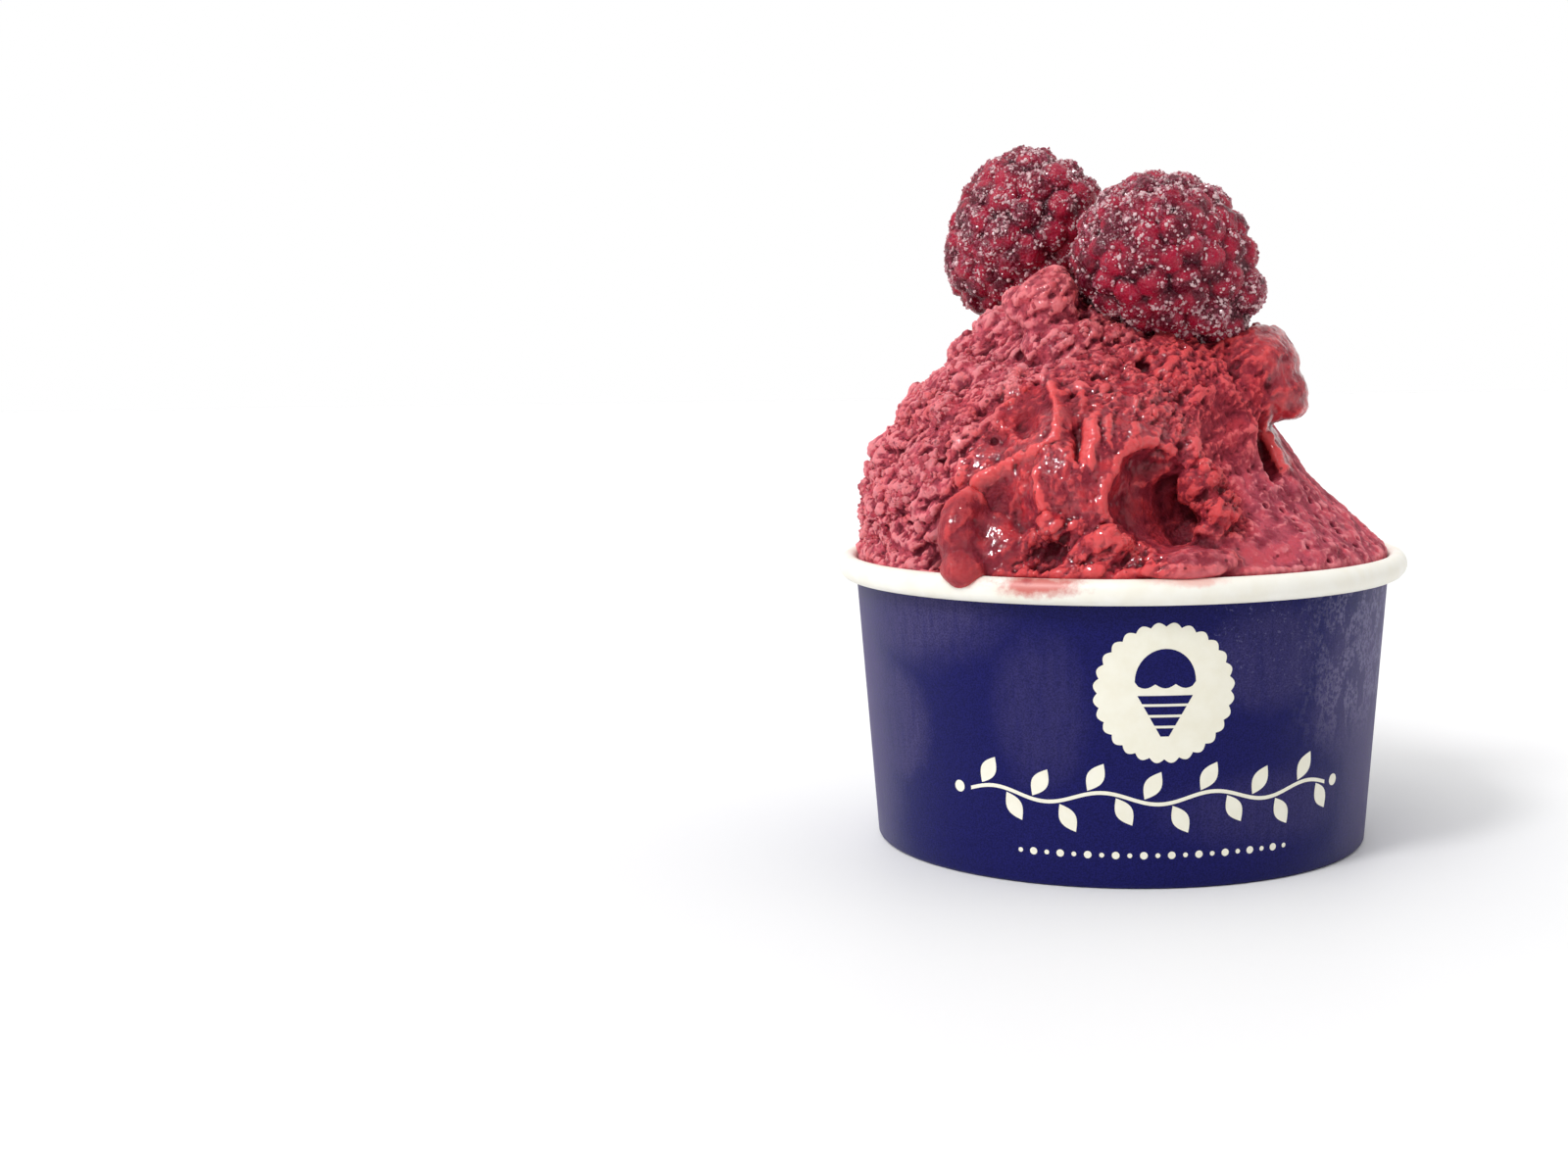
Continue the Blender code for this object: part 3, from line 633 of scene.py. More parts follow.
def object_of(name, mesh, *materials):
    obj = bpy.data.objects.new(name, mesh)
    bpy.context.scene.collection.objects.link(obj)
    if materials and list(mesh.materials) != list(materials):
        sides = np.empty(len(mesh.polygons), np.int32)
        mesh.polygons.foreach_get("material_index", sides)
        mesh.materials.clear()
        for material in materials:
            mesh.materials.append(material)
        mesh.polygons.foreach_set("material_index", sides)
    return obj


def piece(name, mesh, materials, replaces=None):
    """A finished piece of the object, which rides on its one body."""
    obj = object_of(name, mesh, *materials)
    mesh.name = name
    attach(obj, "root")
    if replaces:
        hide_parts(replaces)
    return obj


def points_of(mesh):
    flat = np.empty(len(mesh.vertices) * 3)
    mesh.vertices.foreach_get("co", flat)
    return flat.reshape(-1, 3)


def put_points(mesh, points):
    mesh.vertices.foreach_set("co", points.ravel())
    mesh.update()


def put_field(mesh, name, values):
    field = mesh.attributes.get(name) or mesh.attributes.new(name, "FLOAT", "POINT")
    field.data.foreach_set("value", np.asarray(values, np.float32))


def take_field(mesh, name):
    values = np.empty(len(mesh.vertices), np.float32)
    mesh.attributes[name].data.foreach_get("value", values)
    return values


def eased(values, low, high):
    share = np.clip((values - low) / (high - low), 0, 1)
    return share * share * (3 - 2 * share)


def mesh_of(name, bm):
    mesh = bpy.data.meshes.new(name)
    bm.to_mesh(mesh)
    bm.free()
    return mesh


@contextmanager
def edited(mesh):
    """The mesh as an open BMesh that is written back at the end."""
    bm = bmesh.new()
    bm.from_mesh(mesh)
    yield bm
    bm.to_mesh(mesh)
    bm.free()


def cut_at(bm, place, normal, clear=False):
    everything = bm.verts[:] + bm.edges[:] + bm.faces[:]
    plane = {"plane_co": place, "plane_no": normal, "clear_inner": clear}
    bmesh.ops.bisect_plane(bm, geom=everything, **plane)


def new_verts(made):
    return [g for g in made["geom"] if isinstance(g, bmesh.types.BMVert)]


def finder_of(points):
    """A finder of the nearest of the points."""
    finder = KDTree(len(points))
    for i, point in enumerate(points):
        finder.insert(point, i)
    finder.balance()
    return finder


def join_meshes(name, meshes):
    bm = bmesh.new()
    for mesh in meshes:
        bm.from_mesh(mesh)
        bpy.data.meshes.remove(mesh)
    return mesh_of(name, bm)


def ellipsoids(name, table, detail):
    """One mesh of closed, still overlapping ellipsoids, from a table in millimetres."""
    bm = bmesh.new()
    for centre, half_sizes, turn_deg in table.values():
        place = (
            Matrix.Translation(Vector(centre) * MM)
            @ Matrix.Rotation(math.radians(turn_deg), 4, "Z")
            @ Matrix.Diagonal((*(Vector(half_sizes) * MM), 1))
        )
        bmesh.ops.create_icosphere(bm, subdivisions=detail, radius=1, matrix=place)
    return mesh_of(name, bm)


def bend(start, pull, end, count):
    """Points along a curve that is drawn towards its pull."""
    for k in range(count):
        t = k / (count - 1)
        yield Vector(start) * (1 - t) ** 2 + Vector(pull) * 2 * t * (1 - t) + Vector(end) * t**2


def foot_beads():
    """Overlapping beads along the feet's curves, in the terms of the loads."""
    table = {}
    for name, (start, pull, end, radius) in FEET.items():
        for k, centre in enumerate(bend(start, pull, end, FOOT_BEADS)):
            size = radius * (0.75 + 0.25 * math.sin(math.pi * k / (FOOT_BEADS - 1)))
            table[f"{name}_{k}"] = (tuple(centre), (size, size, size), 0)
    return table


def turned(name, outline, angles, radius_of, touches_axis, sides=None):
    """Mesh of an outline of (radius, height) points turned round Z through the given angles."""
    bm = bmesh.new()
    rings = []
    for index, (radius, height) in enumerate(outline):
        if touches_axis and index in (0, len(outline) - 1):
            pole = bm.verts.new((0, 0, height))
            rings.append([pole] * len(angles))
            continue
        ring = []
        for angle in angles:
            r = radius_of(index, radius, angle)
            ring.append(bm.verts.new((r * math.sin(angle), -r * math.cos(angle), height)))
        rings.append(ring)
    pairs = list(zip(rings, rings[1:]))
    if not touches_axis:
        pairs.append((rings[-1], rings[0]))
    for step, (low, high) in enumerate(pairs):
        for k in range(len(angles)):
            n = (k + 1) % len(angles)
            corners = [low[k], low[n], high[n], high[k]]
            face = bm.faces.new(list(dict.fromkeys(corners)))
            face.material_index = sides[step] if sides else 0
    bmesh.ops.recalc_face_normals(bm, faces=bm.faces)
    return mesh_of(name, bm)


def even_angles(count):
    return [2 * math.pi * k / count for k in range(count)]


def creased(mesh):
    mesh.shade_smooth()
    mesh.set_sharp_from_angle(angle=math.radians(50))
    return mesh


def as_turned(index, radius, angle):
    return radius


# Paper cup


BEND_ANGLES = (math.pi / 6, math.pi / 3)


def wall_radius(height):
    """Radius of the middle of the cup's paper at a height."""
    return BASE_RADIUS - PAPER / 2 + (TOP_RADIUS - BASE_RADIUS) * height / CUP_HEIGHT


def roll_centre():
    """Centre of the rolled rim's section, and its half sizes at the middle of the paper."""
    height = CUP_HEIGHT - ROLL_HEIGHT / 2
    inner = wall_radius(height)
    half_width = (RIM_RADIUS - PAPER / 2 - inner) / 2
    return (inner + half_width, height), (half_width, ROLL_HEIGHT / 2 - PAPER / 2)


def strip_outline(path, thickness):
    """Both sides of a sheet whose middle follows the path, with mitred corners."""
    sides = ([], [])
    for i, point in enumerate(path):
        before = Vector(path[max(i - 1, 0)])
        after = Vector(path[min(i + 1, len(path) - 1)])
        here = Vector(point)
        steps = [s.normalized() for s in (here - before, after - here) if s.length > 0]
        along = sum(steps, Vector((0, 0))).normalized()
        across = Vector((along.y, -along.x))
        stretch = 1 / max(across.dot(Vector((steps[0].y, -steps[0].x))), 0.5)
        for side, sign in zip(sides, (1, -1)):
            side.append(here + across * sign * stretch * thickness / 2)
    return sides[0], sides[1]


def wall_path():
    """Middle of the wall's paper: the hem inside, the foot, the wall and the rolled rim."""
    hem = wall_radius(0) - 2 * PAPER - 2 * CLEARANCE
    path = [(hem, HEM_HEIGHT), (hem, PAPER / 2 + HEM_BEND)]
    for a in BEND_ANGLES:
        inward, up = HEM_BEND * (1 - math.cos(a)), HEM_BEND * (1 - math.sin(a))
        path.append((hem + inward, PAPER / 2 + up))
    path += [(hem + HEM_BEND, PAPER / 2), (wall_radius(0) - HEM_BEND, PAPER / 2)]
    for a in BEND_ANGLES:
        inward, up = HEM_BEND * (1 - math.sin(a)), HEM_BEND * (1 - math.cos(a))
        path.append((wall_radius(0) - inward, PAPER / 2 + up))
    (centre_r, centre_z), (half_w, half_h) = roll_centre()
    low = PAPER / 2 + HEM_BEND
    high = centre_z - half_h
    for k in range(WALL_STEPS + 1):
        height = low + (high - low) * k / WALL_STEPS
        path.append((wall_radius(height), height))
    for k in range(ROLL_STEPS + 1):
        turn = math.radians(180 + (ROLL_END_DEG - 180) * k / ROLL_STEPS)
        path.append((centre_r + half_w * math.cos(turn), centre_z + half_h * math.sin(turn)))
    return path


def cup_wall_mesh():
    """One strip of paper, printed on its outer side and bare where it shows on the rolled rim."""
    path = wall_path()
    outer, inner = strip_outline(path, PAPER)
    lap = [math.radians(a) for a in (LAP_HALF_DEG, LAP_HALF_DEG + LAP_EDGE_DEG)]
    edges = [math.pi + side * a for side in (-1, 1) for a in lap]
    spaced = [a for a in even_angles(CUP_COLUMNS) if min(abs(a - e) for e in edges) > 0.004]
    angles = sorted(spaced + edges)
    low, high = LAP_HEIGHTS
    on_wall = {i for i, (r, z) in enumerate(path) if low < z < high and r > LAP_INSIDE}

    def with_lap(index, radius, angle):
        on_lap = index in on_wall and abs(angle - math.pi) <= lap[0] + 1e-6
        return radius + PAPER if on_lap else radius

    count = len(path)
    sides = [0] * (count - 1) + [1] * (count + 1)
    mesh = turned("cup_wall_paper", outer + inner[::-1], angles, with_lap, False, sides)
    return creased(mesh)


def cup_bottom_mesh():
    flange = wall_radius(0) - PAPER - CLEARANCE
    path = [(0, FLOOR_HEIGHT), (flange * 0.5, FLOOR_HEIGHT), (flange - FLANGE_BEND, FLOOR_HEIGHT)]
    for a in BEND_ANGLES:
        inward, down = FLANGE_BEND * (1 - math.sin(a)), FLANGE_BEND * (1 - math.cos(a))
        path.append((flange - inward, FLOOR_HEIGHT - down))
    path += [(flange, FLOOR_HEIGHT - FLANGE_BEND), (flange, PAPER + 2 * CLEARANCE)]
    upper, lower = strip_outline(path, PAPER)
    mesh = turned("cup_bottom_paper", upper + lower[::-1], even_angles(120), as_turned, True)
    return creased(mesh)


def cup_space(clearance):
    """All that the gelato keeps out of: the cup's wall and its rolled rim."""
    inset = PAPER / 2 + clearance
    outside, under = RIM_RADIUS + 12 * MM, 20 * MM
    (centre_r, centre_z), (half_w, half_h) = roll_centre()
    outline = [(0, under + MM), (wall_radius(under + MM) - inset, under + MM)]
    for k in range(ROLL_STEPS + 1):
        turn = math.pi * (1 - k / ROLL_STEPS)
        r = centre_r + (half_w + inset) * math.cos(turn)
        outline.append((r, centre_z + (half_h + inset) * math.sin(turn)))
    outline += [(outside, centre_z), (outside, under), (0, under)]
    return turned("cup_space", outline, even_angles(CUP_COLUMNS), as_turned, True)


# Print on the cup


def disc(x, radius, scallops=0, depth=0.0, count=96):
    outline = []
    for a in even_angles(count):
        r = radius - depth * (1 - abs(math.sin(scallops * a / 2))) if scallops else radius
        outline.append((x + r * math.cos(a), r * math.sin(a)))
    return outline


def leaf(x, z, length, width, lean_deg):
    """A pointed leaf that starts at (x, z) and leans from upright by an angle."""
    lean = math.radians(lean_deg)
    steps = 12
    there = [(k / steps, math.sin(math.pi * k / steps)) for k in range(steps)]
    back = [(k / steps, -math.sin(math.pi * k / steps)) for k in range(steps, 0, -1)]
    outline = []
    for t, w in there + back:
        up, side = t * length, w * width / 2
        outline.append((
            x + math.sin(lean) * up + math.cos(lean) * side,
            z + math.cos(lean) * up - math.sin(lean) * side,
        ))
    return outline


def badge_figure(z):
    """A plain cone with a scoop on it, as bands and a dome."""
    arc = [math.pi * k / 20 for k in range(21)]
    figure = [[(3.9 * math.cos(a), z + 1.3 + 4.3 * math.sin(a)) for a in arc]]
    for k in range(1, 18):
        figure[0].append((-3.9 + 7.8 * k / 18, z + 1.0 - 0.55 * abs(math.sin(math.pi * k / 6))))
    top, bottom, half, gap = z - 0.5, z - 6.2, 3.2, 0.35
    bands = 4
    for k in range(bands):
        high = top - (top - bottom) * k / bands
        low = top - (top - bottom) * (k + 1) / bands + gap
        wide, narrow = (half * (v - bottom) / (top - bottom) + gap for v in (high, low))
        figure.append([(-wide, high), (-narrow, low), (narrow, low), (wide, high)])
    return figure


def vine(half_length):
    """A wavy stem with single leaves that turn up and down by turns."""
    steps, leaves, thickness = 90, 14, 0.5

    def stem(share):
        return half_length * (2 * share - 1), 0.75 * math.sin(math.pi * 7 * share)

    line = [stem(k / steps) for k in range(steps + 1)]
    upper = [(x, z + thickness / 2) for x, z in line]
    figure = [upper + [(x, z - thickness / 2) for x, z in reversed(line)]]
    for k in range(leaves):
        x, z = stem((k + 0.5) / leaves)
        up = 1 if k % 2 == 0 else -1
        figure.append(leaf(x, z + up * 0.45, 4.2, 2.2, 30 if up > 0 else 150))
    return figure


def wrapped(name, outlines, middle_deg, height, proud):
    """Thin closed plates on the cup's wall, from outlines in millimetres round (0, height)."""
    bm = bmesh.new()
    for outline in outlines:
        bm.faces.new([bm.verts.new((x, 0, z)) for x, z in outline])
    for k in range(-PRINT_CUTS, PRINT_CUTS + 1):
        cut_at(bm, (k * PRINT_CUT_STEP, 0, 0), (1, 0, 0))
    bmesh.ops.triangulate(bm, faces=bm.faces[:])
    for vert in new_verts(bmesh.ops.extrude_face_region(bm, geom=bm.faces[:])):
        vert.co.y = 1.0
    round_this = (wall_radius(height * MM) + PAPER / 2) / MM
    for vert in bm.verts:
        x, inner, z = vert.co
        angle = math.radians(middle_deg) + x / round_this
        lift = -PRINT_BITE if inner else proud
        r = wall_radius((z + height) * MM) + PAPER / 2 + lift
        vert.co = (r * math.sin(angle), -r * math.cos(angle), (z + height) * MM)
    bmesh.ops.recalc_face_normals(bm, faces=bm.faces)
    return mesh_of(name, bm)


def cup_print(cream, navy):
    badge = [disc(0, 9.2, 28, 0.55, 336)]
    border = vine(25.5) + [disc(side * 27.4, 0.8, count=24) for side in (-1, 1)]
    dots = [disc((k - 10) * 1.8, 0.5 if k % 2 else 0.32, count=16) for k in range(21)]
    plates = [
        wrapped("badge", badge, BADGE_DEG, BADGE_HEIGHT, PRINT_PROUD),
        wrapped("border", border, BORDER_DEG, BORDER_HEIGHT, PRINT_PROUD),
        wrapped("dots", dots, BORDER_DEG, DOTS_HEIGHT, PRINT_PROUD),
    ]
    piece("print_cream", join_meshes("print_cream", plates), [cream])
    figure = wrapped("print_navy", badge_figure(0.2), BADGE_DEG, BADGE_HEIGHT, FIGURE_PROUD)
    piece("print_navy", figure, [navy])


# Gelato


def add_fuse(obj):
    fuse = obj.modifiers.new("fuse", "REMESH")
    fuse.mode = "VOXEL"
    fuse.voxel_size = FUSE_SIZE
    fuse.use_smooth_shade = True


def add_boolean(obj, other, operation):
    cut = obj.modifiers.new(operation.lower(), "BOOLEAN")
    cut.operation = operation
    cut.object = other
    cut.solver = "MANIFOLD"


def add_roughness(obj, name, size, depth):
    texture = bpy.data.textures.new(name, "CLOUDS")
    texture.noise_scale = size
    texture.noise_depth = 2
    texture.noise_basis = "BLENDER_ORIGINAL"
    push = obj.modifiers.new(name, "DISPLACE")
    push.texture = texture
    push.texture_coords = "GLOBAL"
    push.strength = depth
    push.mid_level = 0.5


def heap_mesh():
    """The heap above the cup's mouth, fused from its loads, with its hollows, lumps, foot and
    crags.
    """
    outline = [(r * MM, z * MM) for r, z in PLUG]
    plug = turned("plug", outline, even_angles(128), as_turned, True)
    obj = object_of("heap", join_meshes("heap", [plug, ellipsoids("loads", LOADS, 5)]))
    scooped = object_of("scooped", ellipsoids("scooped", SCOOPED, 5))
    stands = [ellipsoids("feet", foot_beads(), 3), ellipsoids("lumps", LUMPS, 4)]
    stands = object_of("stands", join_meshes("stands", stands))
    space = object_of("cup_space", cup_space(TOUCH))
    sockets = []
    for name, spec in BERRIES.items():
        sockets.append(object_of(name + "_socket", socket_mesh(name, spec)))
    add_fuse(scooped)
    add_fuse(obj)
    add_boolean(obj, scooped, "DIFFERENCE")
    add_fuse(stands)
    add_boolean(obj, stands, "UNION")
    add_fuse(obj)
    soften = obj.modifiers.new("soften", "SMOOTH")
    soften.factor = 0.5
    soften.iterations = SOFTEN_STEPS
    add_roughness(obj, "crags", CRAG_SIZE, CRAG_DEPTH)
    add_roughness(obj, "crumbs", CRUMB_SIZE, CRUMB_DEPTH)
    for cutter in [space] + sockets:
        add_boolean(obj, cutter, "DIFFERENCE")
    mesh = settled(obj)
    for cutter in [scooped, stands, space] + sockets:
        bpy.data.objects.remove(cutter)
    return mesh


def surface_fields(points):
    """Crumb, smear, pores, wetness and paleness with its painted light and shade, at each point,
    blended from the nearest places.
    """
    totals = np.zeros((len(points), 5))
    weights = np.full(len(points), 1e-9)
    for centre, reach, *values in SURFACES:
        off = ((points - np.array(centre) * MM) ** 2).sum(1) / (reach * MM) ** 2
        weight = np.exp(-off * PLACE_FADE) * (PLACE_REACH / reach) ** PLACE_FAVOUR
        weights += weight
        totals += weight[:, None] * np.array(values)
    return (totals / weights[:, None]).T


def room_to_cup(points):
    """Distance, in metres, from each point to the paper of the rim and wall."""
    (centre_r, centre_z), (half_w, half_h) = roll_centre()
    r = np.hypot(points[:, 0], points[:, 1])
    across = (r - centre_r) / (half_w + PAPER / 2)
    above = (points[:, 2] - centre_z) / (half_h + PAPER / 2)
    to_roll = (np.hypot(across, above) - 1) * half_w
    to_wall = BASE_RADIUS - PAPER + WALL_SLOPE * points[:, 2] - r
    below = points[:, 2] < centre_z
    return np.where(below, np.minimum(to_roll, to_wall), to_roll)


def keep_out_of_cup(points):
    """Moves each point that has run into the rim or the wall back onto it."""
    (centre_r, centre_z), (half_w, half_h) = roll_centre()
    moved = points.copy()
    r = np.hypot(points[:, 0], points[:, 1])
    across = (r - centre_r) / (half_w + PAPER / 2 + TOUCH)
    above = (points[:, 2] - centre_z) / (half_h + PAPER / 2 + TOUCH)
    inside = np.hypot(across, above)
    heart = 0.05
    on_roll = (inside < 1) & (inside > heart)
    out = np.maximum(inside, heart)
    new_r = np.where(on_roll, centre_r + (r - centre_r) / out, r)
    new_z = np.where(on_roll, centre_z + (points[:, 2] - centre_z) / out, points[:, 2])
    wall = BASE_RADIUS - PAPER - TOUCH + WALL_SLOPE * new_z
    in_wall = (new_z < centre_z) & (new_r > wall)
    new_r = np.where(in_wall, wall, new_r)
    moved[:, 0] = points[:, 0] * new_r / np.maximum(r, 1e-9)
    moved[:, 1] = points[:, 1] * new_r / np.maximum(r, 1e-9)
    moved[:, 2] = new_z
    return moved


RELIEF = {
    "Clod Size": 6.0,
    "Clod Depth": 4.6,
    "Torn Size": 2.2,
    "Torn Depth": 1.15,
    "Grain Size": 1.15,
    "Grain Depth": 0.42,
    "Rubble Size": 0.8,
    "Rubble Depth": 0.8,
    "Pit Spacing": 2.9,
    "Pit Depth": 1.0,
    "Streak Width": 1.1,
    "Streak Depth": 0.45,
    "Pore Spacing": 2.0,
    "Pore Depth": 0.7,
}


def rounded(tree, distance, reach):
    """A domed bump over each cell: 1 at the cell's centre and 0 at the reach."""
    share = tree.maths("DIVIDE", distance, reach)
    left = tree.minus(1.0, tree.times(share, share), clamp=True)
    return tree.maths("SQRT", left)


def clumps(tree, place):
    """Where crumbs gather, from 0 to 1."""
    return tree.between(tree.noise(place, 4.0, 2.0), 0.48, 0.58)


def relief_tree(material):
    """Crumb, smeared streaks and pores, in millimetres, pushed along the normal."""
    group, tree, sizes = geometry_tree("gelato_relief", RELIEF)
    place = place_of(tree)
    drift = tree.vectors("SUBTRACT", tree.noise(place, 1.6, colour=True), (0.5, 0.5, 0.5))
    warped = tree.vectors("ADD", place, tree.scaled(drift, 1.6))

    def part_of(value, middle, depth):
        return tree.times(tree.minus(value, middle), depth)

    clod = part_of(tree.noise(place, sizes["Clod Size"], 2.0), 0.5, sizes["Clod Depth"])
    feeds = {"Vector": place, "Angle": 0.7}
    slanted = tree.add("ShaderNodeVectorRotate", feeds, rotation_type="Y_AXIS").outputs[0]
    slanted = tree.vectors("MULTIPLY", slanted, (0.5, 0.7, 1.25))
    torn = tree.between(tree.noise(slanted, sizes["Torn Size"], 4.0, 0.55), 0.40, 0.58)
    torn = part_of(torn, 0.5, sizes["Torn Depth"])
    grain, chance = tree.cells(warped, sizes["Grain Size"])
    grown = tree.between(tree.first(chance), 0, 1, 0.0, 1.3)
    grain = part_of(tree.times(rounded(tree, grain, 0.52), grown), 0.2, sizes["Grain Depth"])
    grain = tree.times(grain, clumps(tree, place))
    rubble = tree.noise(place, sizes["Rubble Size"], 3.0, 0.6)
    rubble = part_of(rubble, 0.5, sizes["Rubble Depth"])
    pit, chance = tree.cells(warped, sizes["Pit Spacing"])
    pit = tree.times(tree.between(pit, 0.30, 0.10), tree.between(tree.first(chance), 0.78, 0.82))
    crumb = tree.plus(tree.plus(clod, torn), tree.plus(grain, rubble))
    crumb = tree.minus(crumb, tree.times(pit, sizes["Pit Depth"]))
    crumb = tree.times(crumb, named_field(tree, "crumb"))
    drawn = tree.vectors("MULTIPLY", warped, (1.0, 1.0, 0.2))
    streak = tree.noise(drawn, sizes["Streak Width"], 3.0, 0.6)
    streak = tree.maths("ABSOLUTE", tree.minus(tree.times(streak, 4.0), 2.0))
    streak = part_of(streak, 0.5, tree.times(sizes["Streak Depth"], -1.0))
    streak = tree.times(streak, named_field(tree, "smear"))
    hole, chance = tree.cells(place, sizes["Pore Spacing"])
    open_here = tree.between(tree.first(chance), 0.52, 0.60)
    gathered = tree.between(tree.noise(place, 5.0, 1.0), 0.42, 0.55, 0.25, 1.0)
    hole = tree.times(
        tree.between(hole, 0.30, 0.12),
        open_here,
        gathered,
        sizes["Pore Depth"],
        named_field(tree, "pores"),
    )
    relief = tree.minus(tree.plus(crumb, streak), hole)
    relief = tree.times(relief, named_field(tree, "free"))
    push = tree.scaled(normal_of(tree), tree.times(relief, MM))
    end_tree(tree, moved(tree, sizes["Geometry"], push), material)
    return group


# The dips and hollows measured here steer the gelato's painted shade in low places and painted
# highlight on proud ones
HOLLOWS = {"Dip Rounds": 9, "Hollow Rounds": 200}
LEVEL_ROUNDS = 9


def hollow_tree(material):
    """How far each point lies below its surroundings, near and further round, in millimetres."""
    group, tree, sizes = geometry_tree("gelato_hollows", HOLLOWS)
    place = place_of(tree)
    level = tree.vectors("NORMALIZE", smoothed_over(tree, normal_of(tree), LEVEL_ROUNDS))
    shape = sizes["Geometry"]
    for name, rounds in (("dip", "Dip Rounds"), ("hollow", "Hollow Rounds")):
        above = tree.vectors("SUBTRACT", smoothed_over(tree, place, sizes[rounds]), place)
        below = tree.add("ShaderNodeVectorMath", {0: above, 1: level}, operation="DOT_PRODUCT")
        shape = kept_field(tree, shape, name, below.outputs["Value"])
    end_tree(tree, shape, material)
    return group


# Seeds of the scattered balls' turn and stretch, and of each crumb's random share of painted
# highlight
TURN_SEED = 5
STRETCH_SEED = 8
CRUMB_HIGHLIGHT_SEED = 2
CRUMBS = {
    "Crumbs Per Square Metre": 1.1e6,
    "Smallest": 0.28,
    "Largest": 0.66,
    "Sunk": 0.42,
    "Seed": 6,
}
GRAINS = {
    "Crumbs Per Square Metre": 2.6e6,
    "Smallest": 0.13,
    "Largest": 0.34,
    "Sunk": 0.30,
    "Seed": 9,
}


def crumb_tree(name, facts, rounds, material):
    """Single crumbs of frozen gelato, sunk in the crumbly places and gathered in clumps."""
    group, tree, sizes = geometry_tree(name, facts)
    density = tree.times(
        tree.between(named_field(tree, "crumb"), 0.35, 0.90),
        tree.between(named_field(tree, "free"), 0.6, 1.0),
        tree.between(named_field(tree, "dip"), 0.12, 0.0),
        tree.plus(clumps(tree, place_of(tree)), 0.05),
        sizes["Crumbs Per Square Metre"],
    )
    spots = spread(tree, sizes, density)
    grown = random_size(tree, sizes, 1.7)
    # each crumb's tone is kept as a dip a little below 0, which the gelato material turns into a
    # random share of painted crest highlight
    tone = tree.between(random_share(tree, CRUMB_HIGHLIGHT_SEED), 0, 1, 0.02, -0.16)
    kept = kept_field(tree, spots["Points"], "dip", tone)
    kept = moved(tree, kept, tree.scaled(spots["Normal"], tree.times(grown, sizes["Sunk"], -MM)))
    placed = balls_on(tree, kept, rounds, grown, (0.75, 0.75, 0.6), (1.3, 1.3, 1.0))
    loose = tree.add("GeometryNodeRealizeInstances", {0: placed}).outputs[0]
    bumpy = tree.noise(place_of(tree), 0.55, 1.0, colour=True)
    bumpy = tree.vectors("SUBTRACT", bumpy, (0.5, 0.5, 0.5))
    end_tree(tree, moved(tree, loose, tree.scaled(bumpy, 0.5 * MM)), material)
    return group


def drawn_strokes(points, normals):
    """Crests and creases, in millimetres along the normal, at each point."""
    height = np.zeros(len(points))
    places = points / MM
    finder = finder_of(places)
    for path, width, lift, lean in STROKES:
        knots = np.array(path, float)
        steps = np.linalg.norm(np.diff(knots, axis=0), axis=1)
        along = np.concatenate([[0], np.cumsum(steps)])
        spaced = np.linspace(0, along[-1], max(int(along[-1] / STROKE_STEP), 3))
        line = np.stack([np.interp(spaced, along, knots[:, k]) for k in range(3)], 1)
        nearest = [finder.find(knot)[1] for knot in line]
        line = softened(places[nearest])
        side = np.cross(softened(normals[nearest]), np.gradient(line, axis=0))
        side /= np.linalg.norm(side, axis=1)[:, None]
        reach = width * FLANK_WIDTH * 2
        low, high = line.min(0) - reach, line.max(0) + reach
        near = np.where(((places > low) & (places < high)).all(1))[0]
        best = np.full(len(near), 1e9)
        which = np.zeros(len(near), int)
        for k, knot in enumerate(line):
            off = ((places[near] - knot) ** 2).sum(1)
            which = np.where(off < best, k, which)
            best = np.minimum(off, best)
        across = ((places[near] - line[which]) * side[which]).sum(1) / width
        share = FLANK_SHARE + LEAN_SHARE * lean * np.clip(across * 2, -1, 1)
        where = which / (len(line) - 1)
        fade = np.minimum(1, 5 * np.minimum(where, 1 - where) + 0.25)
        crest = (1 - share) * np.exp(-best / width**2)
        flank = share * np.exp(-best / (width * FLANK_WIDTH) ** 2)
        height[near] += lift * fade * (crest + flank)
    for middles, radius, lift in PITS:
        for middle in middles:
            off = ((places - middle) ** 2).sum(1) / radius**2
            height += lift * np.exp(-off)
    return height


def softened(line):
    for _ in range(STROKE_SOFTENING):
        middle = (line[:-2] + line[2:] + 2 * line[1:-1]) / 4
        line = np.concatenate([line[:1], middle, line[-1:]])
    return line


def thinned(mesh, triangles):
    """The mesh with fewer triangles, its fields taken over from the nearest old points."""
    names = ("crumb", "smear", "pores", "wet", "pale_light_and_shade", "free", "drawn", "dip", "hollow")
    finder = finder_of(points_of(mesh))
    old_fields = {name: take_field(mesh, name) for name in names}
    mesh.calc_loop_triangles()
    share = triangles / max(len(mesh.loop_triangles), 1)
    carrier = object_of("thin", mesh)
    if share < 1:
        thin = carrier.modifiers.new("thin", "DECIMATE")
        thin.ratio = share
    new = settled(carrier)
    nearest = [finder.find(point)[1] for point in points_of(new)]
    for name in names:
        put_field(new, name, old_fields[name][nearest])
    return new


def open_below(mesh, height):
    """Cuts away what lies below the height and leaves the cut open."""
    with edited(mesh) as bm:
        cut_at(bm, (0, 0, height), (0, 0, 1), clear=True)
    return mesh


def close_into_cup(mesh, floor):
    """Carries the open edge down the inside of the cup to its floor, and closes it there."""
    with edited(mesh) as bm:
        edge = [e for e in bm.edges if e.is_boundary]
        for vert in new_verts(bmesh.ops.extrude_edge_only(bm, edges=edge)):
            r = math.hypot(vert.co.x, vert.co.y)
            share = (r - WALL_SLOPE * (vert.co.z - floor)) / r
            vert.co = (vert.co.x * share, vert.co.y * share, floor)
        low_edge = [e for e in bm.edges if e.is_boundary]
        bmesh.ops.holes_fill(bm, edges=low_edge, sides=0)
        bmesh.ops.triangulate(bm, faces=[f for f in bm.faces if len(f.verts) > 4])
        bmesh.ops.recalc_face_normals(bm, faces=bm.faces)
    return mesh


